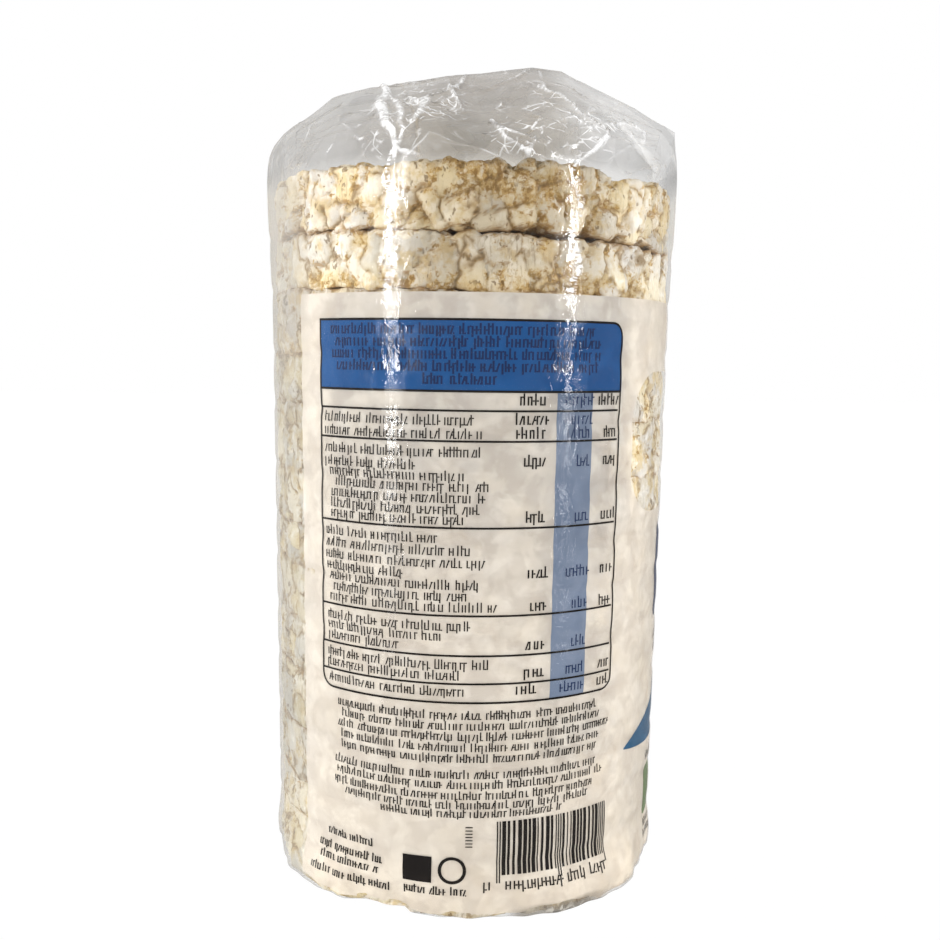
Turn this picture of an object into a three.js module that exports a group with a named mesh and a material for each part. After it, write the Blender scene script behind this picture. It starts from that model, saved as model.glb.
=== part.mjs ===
// Sealed pack of puffed wholegrain rice cakes: a cylindrical stack of cakes in tight clear film, standing upright,
// with a loose, crumpled head of empty film gathered to a ridge above the top cake.
// Millimetres, +Z up. The origin is the middle of the footprint, on the face the pack stands on.
// -Y is the side with the facts panel. An angle round the pack starts at -Y and grows towards +X.
import * as THREE from 'three';

// Driving dimensions
const packRadius = 48;                // film over the cakes
const cakeThickness = [13.6, 9.8, 11.9, 14.4, 13.2, 12.0, 10.1, 12.5, 14.2, 12.2, 13.4, 11.6, 14.1];  // bottom up
const seamDepth = 0.7;                // how far the film dips between two cakes
const seamHalfWidth = 1.7;
const cakeLean = 0.8;                 // a seam's rise at the left of the pack, and its drop at the right
const leanChange = 0.8;               // how much that differs from one seam to the next
const baseRound = 1.3;                // rounded edge of the bottom cake, under folded film
const slackWidth = { left: 1.4, right: 0.5 };  // how far the loose film stands off the cakes at the top
const slackBottom = 130;              // height where that slack starts
const sealHalfAngle = 7;              // lap of the lengthwise seal, in degrees
const sealAngle = -82;
const sealThickness = 0.5;

const ridgeOutline = [[-46, 176.5], [-34, 185.4], [-25, 188], [-1, 191.4], [14, 192.8], [21, 192.4], [30, 188.3], [49, 178.5]];
const ridgeSetBack = 4;               // the ridge, given above by its X and Z, lies behind the pack's axis
const ridgeThickness = 1.2;           // both films, pressed together
const straightRise = { front: 11, back: 10, left: 9, right: 9 };  // upright film above the top cake
const crumpleDepth = 1.5;             // flat-sided dents in the head
const crumpleFolds = [5, 8, 13];      // dents round the pack, in three overlaid sizes

const sidesRound = 60;
const ringsInHead = 9;

const stackHeight = cakeThickness.reduce((sum, thickness) => sum + thickness, 0);
const radians = THREE.MathUtils.degToRad;
const smooth = THREE.MathUtils.smoothstep;

// Seams between cakes, from the bottom up, each with its own lean.
const seams = cakeThickness.slice(0, -1).map((thickness, index) => ({
  height: cakeThickness.slice(0, index + 1).reduce((sum, value) => sum + value, 0),
  lean: cakeLean + leanChange * Math.sin(2.3 * (index + 1)),
}));

function slack(angle, height) {
  const width = Math.sin(angle) < 0 ? slackWidth.left : slackWidth.right;
  return width * Math.sin(angle) ** 6 * smooth(height, slackBottom, stackHeight);
}

function sealLap(angle) {
  const offset = Math.abs(THREE.MathUtils.euclideanModulo(angle - radians(sealAngle) + Math.PI, 2 * Math.PI) - Math.PI);
  return offset < radians(sealHalfAngle) ? sealThickness : 0;
}

function wallPoint(angle, height, inset) {
  const radius = packRadius - inset + slack(angle, height) + sealLap(angle);
  return new THREE.Vector3(radius * Math.sin(angle), -radius * Math.cos(angle), height);
}

// The ridge's height over the pack at one place across it.
function ridgeHeight(x) {
  const after = ridgeOutline.findIndex(([edge]) => edge >= x);
  if (after === 0) return ridgeOutline[0][1];
  if (after < 0) return ridgeOutline.at(-1)[1];
  const [x0, z0] = ridgeOutline[after - 1];
  const [x1, z1] = ridgeOutline[after];
  return THREE.MathUtils.mapLinear(x, x0, x1, z0, z1);
}

function ridgePoint(angle) {
  const left = ridgeOutline[0][0];
  const right = ridgeOutline.at(-1)[0];
  const x = THREE.MathUtils.mapLinear(Math.sin(angle), -1, 1, left, right);
  const side = -Math.cos(angle) * ridgeThickness / 2;
  return new THREE.Vector3(x, ridgeSetBack + side, ridgeHeight(x));
}

function riseAt(angle) {
  const across = Math.sin(angle) > 0 ? straightRise.right : straightRise.left;
  const along = Math.cos(angle) > 0 ? straightRise.front : straightRise.back;
  return THREE.MathUtils.lerp(along, across, Math.sin(angle) ** 2);
}

// Triangle waves of three sizes, which leave flat facets with sharp folds between them.
function crumple(angle, share) {
  const wave = (value) => 1 - 4 * Math.abs(value - Math.floor(value) - 0.5);
  const turn = angle / (2 * Math.PI);
  const dents = crumpleFolds.reduce((sum, folds, index) => {
    return sum + wave(folds * turn + share * (1.1 - 0.7 * index) + 0.3 * index) / (index + 1);
  }, 0);
  return crumpleDepth * dents * Math.sin(Math.PI * share) * Math.cos(angle) ** 2;
}

// From the top cake's rim the film rises upright, then leans in to the ridge.
function headPoint(angle, share) {
  const rim = wallPoint(angle, stackHeight, 0);
  const bend = rim.clone().setZ(stackHeight + riseAt(angle));
  const ridge = ridgePoint(angle);
  const point = new THREE.QuadraticBezierCurve3(rim, bend, ridge).getPoint(share);
  const outwards = new THREE.Vector3(Math.sin(angle), -Math.cos(angle), 0.6).normalize();
  return point.addScaledVector(outwards, -crumple(angle, share));
}

const angles = Array.from({ length: sidesRound }, (_, index) => 2 * Math.PI * index / sidesRound);
const rings = [];

// Rounded foot: a quarter circle in three steps.
for (const step of [0, 1, 2, 3]) {
  const turn = step / 3 * Math.PI / 2;
  const inset = baseRound * (1 - Math.sin(turn));
  const height = baseRound * (1 - Math.cos(turn));
  rings.push(angles.map((angle) => wallPoint(angle, height, inset)));
}

// Wall: three rings at each seam, so that the film bridges from cake to cake.
for (const seam of seams) {
  for (const [offset, inset] of [[-seamHalfWidth, 0], [0, seamDepth], [seamHalfWidth, 0]]) {
    rings.push(angles.map((angle) => wallPoint(angle, seam.height + offset - seam.lean * Math.sin(angle), inset)));
  }
}

// Head: from the rim to the ridge.
for (let step = 0; step <= ringsInHead; step += 1) {
  rings.push(angles.map((angle) => headPoint(angle, step / ringsInHead)));
}

function shell() {
  const position = rings.flat().flatMap((point) => point.toArray());
  const index = [];
  const at = (ring, side) => ring * sidesRound + (side % sidesRound);
  for (let ring = 0; ring + 1 < rings.length; ring += 1) {
    for (let side = 0; side < sidesRound; side += 1) {
      index.push(at(ring, side), at(ring, side + 1), at(ring + 1, side + 1));
      index.push(at(ring, side), at(ring + 1, side + 1), at(ring + 1, side));
    }
  }

  // Flat face underneath, as a fan from its middle.
  const middle = position.length / 3;
  position.push(0, 0, 0);
  for (let side = 0; side < sidesRound; side += 1) {
    index.push(middle, at(0, side + 1), at(0, side));
  }

  // The ridge's thin top joins each front point to the back point beside it.
  const top = rings.length - 1;
  const quarter = sidesRound / 4;
  const front = (step) => at(top, step - quarter + sidesRound);
  const back = (step) => at(top, 3 * quarter - step);
  for (let step = 0; step < 2 * quarter; step += 1) {
    if (step > 0) index.push(front(step), front(step + 1), back(step));
    if (step + 1 < 2 * quarter) index.push(back(step), front(step + 1), back(step + 1));
  }

  const geometry = new THREE.BufferGeometry();
  geometry.setAttribute('position', new THREE.Float32BufferAttribute(position, 3));
  geometry.setIndex(index);
  geometry.computeVertexNormals();
  return geometry;
}

const film = new THREE.MeshStandardMaterial({ color: 0xe4ddcf, roughness: 0.25, metalness: 0 });
const pack = new THREE.Mesh(shell(), film);
pack.name = 'film_pack';

const group = new THREE.Group();
group.add(pack);

export default group;
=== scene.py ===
import math
import random

import bpy
import numpy as np
from mathutils import Matrix, Vector


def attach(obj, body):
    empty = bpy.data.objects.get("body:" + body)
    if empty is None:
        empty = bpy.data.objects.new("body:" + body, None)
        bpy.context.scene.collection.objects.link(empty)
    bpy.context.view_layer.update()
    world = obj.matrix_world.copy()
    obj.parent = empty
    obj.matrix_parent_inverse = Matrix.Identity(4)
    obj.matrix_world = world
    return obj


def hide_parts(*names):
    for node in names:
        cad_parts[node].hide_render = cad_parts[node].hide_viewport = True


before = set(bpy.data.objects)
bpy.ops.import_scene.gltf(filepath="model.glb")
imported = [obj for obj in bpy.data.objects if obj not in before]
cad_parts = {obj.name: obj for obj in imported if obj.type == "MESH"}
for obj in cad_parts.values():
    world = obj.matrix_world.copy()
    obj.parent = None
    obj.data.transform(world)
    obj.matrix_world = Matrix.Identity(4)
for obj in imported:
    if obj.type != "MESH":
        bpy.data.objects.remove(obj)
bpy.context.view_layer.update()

mm = 0.001  # sizes in the dictionaries are in millimetres, and meshes are in metres
scene = bpy.context.scene
scene.view_settings.view_transform = "Standard"

# The pack's own sizes. The film's dips, slack and lap differ a little from the solid's. An angle starts
# at -Y and grows towards +X.
pack = {
    "radius": 48.0,
    "cakeThickness": [13.6, 9.8, 11.9, 14.4, 13.2, 12.0, 10.1, 12.5, 14.2, 12.2, 13.4, 11.6, 14.1],
    "seamDepth": 0.32,
    "seamHalfWidth": 2.6,
    "cakeLean": 0.8,
    "leanChange": 0.8,
    "footRound": 1.3,
    "slackLeft": 0.9,
    "slackRight": 0.8,
    "slackBottom": 130.0,
    "sealAngle": -82.0,
    "sealHalfAngle": 7.0,
    "sealThickness": 0.2,
    "ridgeOutline": [
        (-46, 176.5), (-34, 185.4), (-25, 188), (-1, 191.4),
        (14, 192.8), (21, 192.4), (30, 188.3), (49, 178.5),
    ],
    "ridgeSetBack": 4.0,
    "ridgeThickness": 1.2,
    "riseFront": 11.0,
    "riseBack": 10.0,
    "riseSides": 9.0,
    "crumpleDepth": 1.5,
    "crumpleFolds": [5, 8, 13],
}
stackHeight = sum(pack["cakeThickness"])
# Places round the pack, in degrees: over the first range each comes up, and over the second it ends.
places = {
    "footWidest": ((3, 31), (46, 66)),
    "footSwollen": ((-78, -62), (-42, -28)),
    "footChipped": ((-36, -27), (-16.5, -14.5)),
    "footCrumbly": ((-50, -40), (8, 13)),
    "filmGathered": ((11, 19), (36, 44)),
    "filmPinched": ((20, 24), (31, 36)),
    "topCakeLifted": ((-8, 8), (52, 70)),
    "topCakeSunk": ((33, 39), (52, 66)),
}


def seamPlane(index):
    # Height of a seam at the axis, and its lean: 0 is the floor and the last is the top of the stack.
    height = sum(pack["cakeThickness"][:index])
    inside = 0 < index < len(pack["cakeThickness"])
    lean = pack["cakeLean"] + pack["leanChange"] * math.sin(2.3 * index) if inside else 0.0
    return height, lean


def smoothStep(value, low, high):
    share = np.clip((value - low) / (high - low), 0, 1)
    return share * share * (3 - 2 * share)


def between(value, rise, fall):
    # Goes up from 0 to 1 over the first range, and back down over the second.
    return smoothStep(value, *rise) * (1 - smoothStep(value, *fall))


def turnsApart(angle, other):
    return np.abs((angle - other + math.pi) % (2 * math.pi) - math.pi)


def wallRadius(angle, height):
    width = np.where(np.sin(angle) < 0, pack["slackLeft"], pack["slackRight"])
    slack = width * np.sin(angle) ** 6 * smoothStep(height, pack["slackBottom"], stackHeight)
    offset = np.degrees(turnsApart(angle, math.radians(pack["sealAngle"])))
    lap = pack["sealThickness"] * (1 - smoothStep(offset, pack["sealHalfAngle"] - 0.9, pack["sealHalfAngle"]))
    radius = pack["radius"] + slack + lap
    for index in range(1, len(pack["cakeThickness"])):
        seam, lean = seamPlane(index)
        gap = np.abs(height - seam + lean * np.sin(angle))
        radius = radius - pack["seamDepth"] * (1 - smoothStep(gap, 0, pack["seamHalfWidth"]))
    inset = np.clip(pack["footRound"] - height, 0, None)
    return radius - pack["footRound"] + np.sqrt(np.clip(pack["footRound"] ** 2 - inset ** 2, 0, None))


def wallPoint(angle, height):
    radius = wallRadius(angle, height)
    return np.stack([radius * np.sin(angle), -radius * np.cos(angle), height + 0 * angle], -1)


def headPoint(angle, share):
    # From the top cake's rim the film rises upright, then leans in to the ridge.
    rim = wallPoint(angle, stackHeight + 0 * angle)
    outline = np.array(pack["ridgeOutline"])
    along = np.where(np.cos(angle) > 0, pack["riseFront"], pack["riseBack"])
    bend = rim.copy()
    bend[..., 2] += along + (pack["riseSides"] - along) * np.sin(angle) ** 2
    x = outline[0, 0] + (np.sin(angle) + 1) / 2 * (outline[-1, 0] - outline[0, 0])
    side = pack["ridgeSetBack"] - np.cos(angle) * pack["ridgeThickness"] / 2
    ridge = np.stack([x, side, np.interp(x, outline[:, 0], outline[:, 1])], -1)
    s = share[..., None]
    point = (1 - s) ** 2 * rim + 2 * s * (1 - s) * bend + s ** 2 * ridge
    outwards = np.stack([np.sin(angle), -np.cos(angle), 0.6 + 0 * angle], -1)
    outwards /= np.linalg.norm(outwards, axis=-1, keepdims=True)
    dents = 0
    for index, folds in enumerate(pack["crumpleFolds"]):
        turn = folds * angle / (2 * math.pi) + share * (1.1 - 0.7 * index) + 0.3 * index
        dents = dents + (1 - 4 * np.abs(turn - np.floor(turn) - 0.5)) / (index + 1)
    dents = pack["crumpleDepth"] * dents * np.sin(math.pi * share) * np.cos(angle) ** 2
    return point - outwards * dents[..., None]


def buildMesh(name, points, faces, smooth=True):
    made = bpy.data.meshes.new(name)
    made.from_pydata(np.asarray(points, float).tolist(), [], faces)
    made.polygons.foreach_set("use_smooth", [smooth] * len(made.polygons))
    made.update()
    piece = bpy.data.objects.new(name, made)
    scene.collection.objects.link(piece)
    return piece


def writeMask(piece, title, values):
    attribute = piece.data.attributes.new(title, "FLOAT", "POINT")
    attribute.data.foreach_set("value", np.asarray(values, np.float32))


def ringFaces(rings, segments):
    faces = []
    for ring in range(rings - 1):
        base = ring * segments
        for side in range(segments):
            after = (side + 1) % segments
            faces.append((base + side, base + after, base + segments + after, base + segments + side))
    return faces


class Graph:
    # Adds nodes to a tree. Each call returns the new node's output socket, to be used as another's input.
    def __init__(self, tree):
        self.tree = tree

    def add(self, kind, inputs=None, output=0, **settings):
        made = self.tree.nodes.new(kind)
        for name, value in settings.items():
            setattr(made, name, value)
        for name, value in (inputs or {}).items():
            if isinstance(value, bpy.types.NodeSocket):
                self.tree.links.new(value, made.inputs[name])
            else:
                made.inputs[name].default_value = value
        return made.outputs[output]

    def math(self, operation, *values, clamp=False):
        return self.add("ShaderNodeMath", dict(enumerate(values)), operation=operation, use_clamp=clamp)

    def times(self, value, *others, clamp=False):
        for other in others:
            value = self.math("MULTIPLY", value, other, clamp=clamp)
        return value

    def plus(self, value, *others, clamp=False):
        for other in others:
            value = self.math("ADD", value, other, clamp=clamp)
        return value

    def minus(self, value, other, clamp=False):
        return self.math("SUBTRACT", value, other, clamp=clamp)

    def over(self, value, other):
        return self.math("DIVIDE", value, other)

    def timesPlus(self, value, factor, added):
        return self.math("MULTIPLY_ADD", value, factor, added)

    def larger(self, value, other):
        return self.math("MAXIMUM", value, other)

    def vector(self, operation, *values):
        return self.add("ShaderNodeVectorMath", dict(enumerate(values)), operation=operation)

    def stretch(self, place, factors):
        return self.vector("MULTIPLY", place, factors)

    def bent(self, place, scale, amount):
        wander = self.noise(place, scale, output="Color")
        return self.vector("ADD", place, self.stretch(wander, (amount,) * 3))

    def scaled(self, place, factor):
        return self.add("ShaderNodeVectorMath", {0: place, "Scale": factor}, operation="SCALE")

    def axis(self, place, name):
        return self.add("ShaderNodeSeparateXYZ", {0: place}, name)

    def axes(self, place, names="XYZ"):
        return [self.axis(place, name) for name in names]

    def grey(self, level):
        return self.add("ShaderNodeCombineXYZ", {0: level, 1: level, 2: level})

    def attribute(self, title, output="Fac"):
        return self.add("ShaderNodeAttribute", output=output, attribute_name=title)

    def spread(self, value, low, high, lowest=0.0, highest=1.0, smooth=True):
        inputs = {"Value": value, "From Min": low, "From Max": high, "To Min": lowest, "To Max": highest}
        kind = "SMOOTHSTEP" if smooth else "LINEAR"
        return self.add("ShaderNodeMapRange", inputs, interpolation_type=kind)

    def rise(self, value, low, high, *levels):
        # The same between two places that are given in millimetres.
        return self.spread(value, low * mm, high * mm, *levels)

    def mixColour(self, factor, first, second, blend="MIX"):
        inputs = {0: factor, 6: first, 7: second}
        return self.add("ShaderNodeMix", inputs, 2, data_type="RGBA", blend_type=blend)

    def noise(self, place, scale, detail=2.0, roughness=0.5, output=0, distortion=0.0):
        inputs = {
            "Vector": place, "Scale": scale, "Detail": detail, "Roughness": roughness,
            "Distortion": distortion}
        return self.add("ShaderNodeTexNoise", inputs, output)

    def cells(self, place, scale, feature="F1", output="Distance", metric="EUCLIDEAN"):
        settings = {"feature": feature}
        if feature == "F1":
            settings["distance"] = metric
        return self.add("ShaderNodeTexVoronoi", {"Vector": place, "Scale": scale}, output, **settings)


def geometryTree(name, inputs):
    # A tree with named inputs: gives its graph, the inputs' sockets by name, and a call that ends the tree.
    tree = bpy.data.node_groups.new(name, "GeometryNodeTree")
    tree.interface.new_socket("Geometry", in_out="INPUT", socket_type="NodeSocketGeometry")
    tree.interface.new_socket("Geometry", in_out="OUTPUT", socket_type="NodeSocketGeometry")
    for title, kind in {**inputs, "Material": "Material"}.items():
        tree.interface.new_socket(title, in_out="INPUT", socket_type="NodeSocket" + kind)
    graph = Graph(tree)
    source = tree.nodes.new("NodeGroupInput")
    sockets = {socket.name: socket for socket in source.outputs if socket.name}

    def end(geometry):
        real = graph.add("GeometryNodeRealizeInstances", {"Geometry": geometry})
        painted = graph.add("GeometryNodeSetMaterial", {"Geometry": real, "Material": sockets["Material"]})
        tree.links.new(painted, tree.nodes.new("NodeGroupOutput").inputs["Geometry"])

    return tree, graph, sockets, end


def runTree(piece, tree, settings):
    # Turns the tree's result into the piece's plain mesh.
    modifier = piece.modifiers.new(tree.name, "NODES")
    modifier.node_group = tree
    for item in tree.interface.items_tree:
        if item.item_type == "SOCKET" and item.in_out == "INPUT" and item.name in settings:
            modifier[item.identifier] = settings[item.name]
    depsgraph = bpy.context.evaluated_depsgraph_get()
    made = bpy.data.meshes.new_from_object(piece.evaluated_get(depsgraph), depsgraph=depsgraph)
    piece.modifiers.clear()
    piece.data = made
    made.name = piece.name


def shaderGroup(name, inputs, outputs):
    tree = bpy.data.node_groups.new(name, "ShaderNodeTree")
    for title, value in inputs.items():
        socket = tree.interface.new_socket(title, in_out="INPUT", socket_type="NodeSocketFloat")
        socket.default_value = value
    for title, kind in outputs.items():
        tree.interface.new_socket(title, in_out="OUTPUT", socket_type="NodeSocket" + kind)
    source = tree.nodes.new("NodeGroupInput")
    sink = tree.nodes.new("NodeGroupOutput")
    return tree, Graph(tree), source.outputs, sink.inputs


def newMaterial(name):
    made = bpy.data.materials.new(name)
    made.use_nodes = True
    made.node_tree.nodes.clear()
    graph = Graph(made.node_tree)
    surface = made.node_tree.nodes.new("ShaderNodeOutputMaterial").inputs["Surface"]
    return made, graph, surface


def objectPlace(graph):
    return graph.add("ShaderNodeTexCoord", output="Object")


# Stretched film, shared by film and inks: fine ripples that run across the pack, short wrinkles and
# longer waves.
tree, g, given, wanted = shaderGroup("filmRipple", {"Strength": 0.3}, {"Normal": "Vector"})
place = objectPlace(g)
ladder = g.noise(g.stretch(place, (120.0, 120.0, 800.0)), 1.0, detail=3.0, roughness=0.6)
wrinkles = g.noise(g.stretch(place, (420.0, 420.0, 300.0)), 1.0, detail=2.0, distortion=0.8)
waves = g.noise(g.stretch(place, (60.0, 60.0, 40.0)), 1.0, detail=2.0)
height = g.plus(g.times(ladder, 0.42), g.plus(waves, g.times(wrinkles, 0.6)))
bump = g.add("ShaderNodeBump", {"Strength": given["Strength"], "Distance": 0.4 * mm, "Height": height})
g.tree.links.new(bump, wanted["Normal"])
filmRipple = tree


def rippleNormal(graph, strength):
    made = graph.tree.nodes.new("ShaderNodeGroup")
    made.node_tree = filmRipple
    if isinstance(strength, bpy.types.NodeSocket):
        graph.tree.links.new(strength, made.inputs["Strength"])
    else:
        made.inputs["Strength"].default_value = strength
    return made.outputs["Normal"]


# The clear film.
film = {
    "segments": 560,
    "wallPitch": 2.0,
    "headRings": 74,
    "underRings": 7,
    "footSteps": 4,
    "underPleat": 0.35,
    "footTuck": 0.3,
    "facetSize": 16.0,
    "facetHeight": 0.6,
    "crinkleSize": 3.2,
    "crinkleHeight": 0.1,
    "rippleHeight": 0.1,
}

# Folds pressed into the head: width, height, then places as (angle, share of the way to the ridge).
headFolds = [
    (2.0, 1.1, [
        (-29.8, 1.0), (-25.8, 0.81), (-25.5, 0.58), (-22.2, 0.39), (-21.2, 0.27), (-19.2, 0.2), (-18.6, 0.08),
        (-19.0, 0.0)]),
    (1.5, 0.8, [
        (-25.8, 0.81), (-20.2, 0.55), (-17.5, 0.37), (-17.5, 0.26), (-16.5, 0.21), (-17.2, 0.13),
        (-18.2, 0.06)]),
    (1.5, 0.7, [(-19.0, 0.05), (-16.2, 0.04), (-12.8, 0.01)]),
    (1.8, 0.9, [(-17.8, 0.65), (-14.5, 0.57), (-13.2, 0.63), (-13.0, 0.42), (-14.3, 0.29)]),
    (1.0, 0.9, [(-12.8, 0.63), (-7.0, 0.7), (-4.6, 0.78), (-3.6, 0.95)]),
    (0.9, 0.8, [(-11.2, 0.54), (-5.5, 0.64)]),
    (0.9, 0.8, [(-26.0, 0.92), (-20.2, 0.93), (-13.2, 0.96)]),
    (1.0, 0.9, [(-9.5, 0.97), (-7.3, 0.72), (-5.2, 0.61), (-2.8, 0.48)]),
    (1.3, 0.9, [(17.0, 0.92), (16.8, 0.61), (20.8, 0.58), (26.3, 0.45), (31.8, 0.37), (35.0, 0.33)]),
    (1.1, 0.8, [(35.0, 0.33), (34.8, 0.26), (30.2, 0.1), (26.3, 0.0)]),
    (1.7, 0.8, [(36.0, 0.4), (39.8, 0.48), (44.8, 0.5), (51.2, 0.52), (49.2, 0.34)]),
    (1.2, 0.8, [(4.0, 0.38), (8.0, 0.26), (14.8, 0.16)]),
    (1.4, 0.8, [(4.0, 0.38), (7.5, 0.18), (13.2, 0.03), (14.8, 0.16)]),
    (0.9, 0.8, [(11.5, 0.45), (17.8, 0.35)]),
    (0.8, 0.7, [(35.5, 0.06), (43.2, 0.24)]),
    (1.0, 0.5, [(17.8, 0.02), (21.8, 0.12)]),
    (1.2, 0.7, [(15.2, 0.98), (8.0, 0.76), (1.8, 0.69), (-1.8, 0.67)]),
    (1.0, 0.5, [(-33.0, 0.46), (-27.2, 0.38), (-23.5, 0.4)]),
    (0.7, 0.3, [(-34.8, 0.73), (-33.0, 0.46)]),
    (0.8, 0.7, [(-37.0, 0.21), (-39.2, 0.12)]),
    (0.9, 0.8, [(21.5, 0.36), (25.5, 0.4), (30.0, 0.31), (25.5, 0.32)]),
    (2.0, -0.8, [(-42.0, 0.8), (-46.0, 0.4), (-52.0, 0.1)]),
    (2.2, -0.8, [(36.5, 0.85), (37.0, 0.5), (47.0, 0.24), (55.0, 0.1)]),
]
looseFolds = {"count": 60, "seed": 11, "length": (4.0, 16.0), "width": (0.7, 1.4), "height": (-0.3, 0.35)}
# Short sharp creases, in clusters as (angle, spread, share, spread, count).
sharpCreases = {"seed": 4, "length": (1.5, 5.0), "width": (0.55, 0.8), "height": (0.4, 0.9), "clusters": [
    (-20, 5, 0.5, 0.26, 18), (-12, 5, 0.62, 0.18, 12), (24, 8, 0.42, 0.2, 18), (42, 6, 0.45, 0.14, 8),
    (8, 5, 0.22, 0.14, 6), (-40, 10, 0.4, 0.3, 3), (158, 5, 0.5, 0.24, 16), (170, 4, 0.6, 0.18, 10),
    (-150, 7, 0.42, 0.2, 12), (-112, 5, 0.45, 0.16, 6), (104, 5, 0.4, 0.14, 6),
]}


def foldSamples(route):
    points = headPoint(np.radians([angle for angle, _ in route]), np.array([share for _, share in route]))
    samples = []
    for start, stop in zip(points, points[1:]):
        steps = max(2, int(np.linalg.norm(stop - start) / 0.4))
        samples += [start + (stop - start) * step / steps for step in range(steps + 1)]
    return np.array(samples)


def allFolds():
    draw = random.Random(looseFolds["seed"])
    folds = list(headFolds)
    # The back is folded like the front.
    for width, height, route in headFolds[::2]:
        folds.append((width * 0.75, height * 0.65, [(168 - angle * 1.2, share) for angle, share in route]))
    for _ in range(looseFolds["count"]):
        angle = draw.uniform(-180, 180)
        share = draw.uniform(0.05, 0.95)
        length = draw.uniform(*looseFolds["length"])
        heading = draw.uniform(0, math.pi)
        sideways = math.degrees(length * math.cos(heading) / pack["radius"])
        up = length * math.sin(heading) / 55
        bent = (angle + sideways * 0.6, share + up * 0.4)
        folds.append((draw.uniform(*looseFolds["width"]), draw.uniform(*looseFolds["height"]),
                      [(angle, share), bent, (angle + sideways, min(1, share + up))]))
    draw = random.Random(sharpCreases["seed"])
    for angle, angleSpread, share, shareSpread, count in sharpCreases["clusters"]:
        for _ in range(count):
            start = (angle + draw.gauss(0, angleSpread), min(0.94, max(0.03, draw.gauss(share, shareSpread))))
            length = draw.uniform(*sharpCreases["length"])
            heading = draw.uniform(0, math.pi)
            sideways = math.degrees(length * math.cos(heading) / pack["radius"])
            up = length * math.sin(heading) / 45
            bend = draw.uniform(-0.35, 0.35)
            middle = (
                start[0] + sideways * 0.5 + bend * up * 60,
                min(0.97, start[1] + up * 0.5 - bend * sideways / 60))
            stop = (start[0] + sideways, min(0.97, start[1] + up))
            folds.append((draw.uniform(*sharpCreases["width"]), draw.uniform(*sharpCreases["height"]),
                          [start, middle, stop]))
    return folds


def foldHeights(points):
    # How far the pressed folds lift each point, and how strongly the film is creased there.
    lift = np.zeros(len(points))
    crease = np.zeros(len(points))
    for width, height, route in allFolds():
        samples = foldSamples(route)
        near = np.linalg.norm(points - samples.mean(0), axis=1) < np.ptp(samples, axis=0).max() + 3 * width
        taper = 0.35 + 0.65 * np.sin(math.pi * np.linspace(0.06, 0.94, len(samples)))
        gaps = (np.linalg.norm(points[near][:, None] - samples[None], axis=2) / taper).min(1)
        tent = np.clip(1 - gaps / width, 0, 1)
        lift[near] += height * tent * min(1, width)
        crease[near] = np.maximum(crease[near], tent * min(1, max(0, height)))
    return lift, crease


def shatter(angle, share):
    # Where the head's film is crazed with hair-fine folds, as the clusters of creases have it.
    crazed = 0
    for middle, spread, level, levelSpread, count in sharpCreases["clusters"]:
        if count < 6:
            continue
        turn = np.degrees(turnsApart(angle, math.radians(middle))) / (spread * 1.3)
        away = (share - level) / (levelSpread * 1.2)
        crazed = crazed + min(1, count / 14) * np.exp(-0.5 * (turn ** 2 + away ** 2))
    return np.clip(crazed, 0, 1)


def footBulge(angles, height):
    # The folded film and the cake's own bumps widen the foot, most of all at the sides.
    low = 1 - smoothStep(height, 3.0, 13.0)
    turn = np.degrees((angles + math.pi) % (2 * math.pi) - math.pi)
    bumps = 0
    for rate, size, start in ((7, 0.22, 1.0), (13, 0.2, 2.1), (29, 0.2, 0.0), (47, 0.14, 0.0)):
        bumps = bumps + size * np.sin(rate * angles + start)
    bumps = bumps + 2.2 * between(turn, *places["footWidest"])
    bumps = bumps + 1.1 * between(turn, *places["footSwollen"])
    return low * (0.05 + 0.5 * np.sin(angles) ** 2 + bumps)


def footChip(angles):
    # A place at the front where the bottom cake's edge is broken off and the film follows it.
    turn = np.degrees((angles + math.pi) % (2 * math.pi) - math.pi)
    return 1.15 * between(turn, *places["footChipped"])


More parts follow.
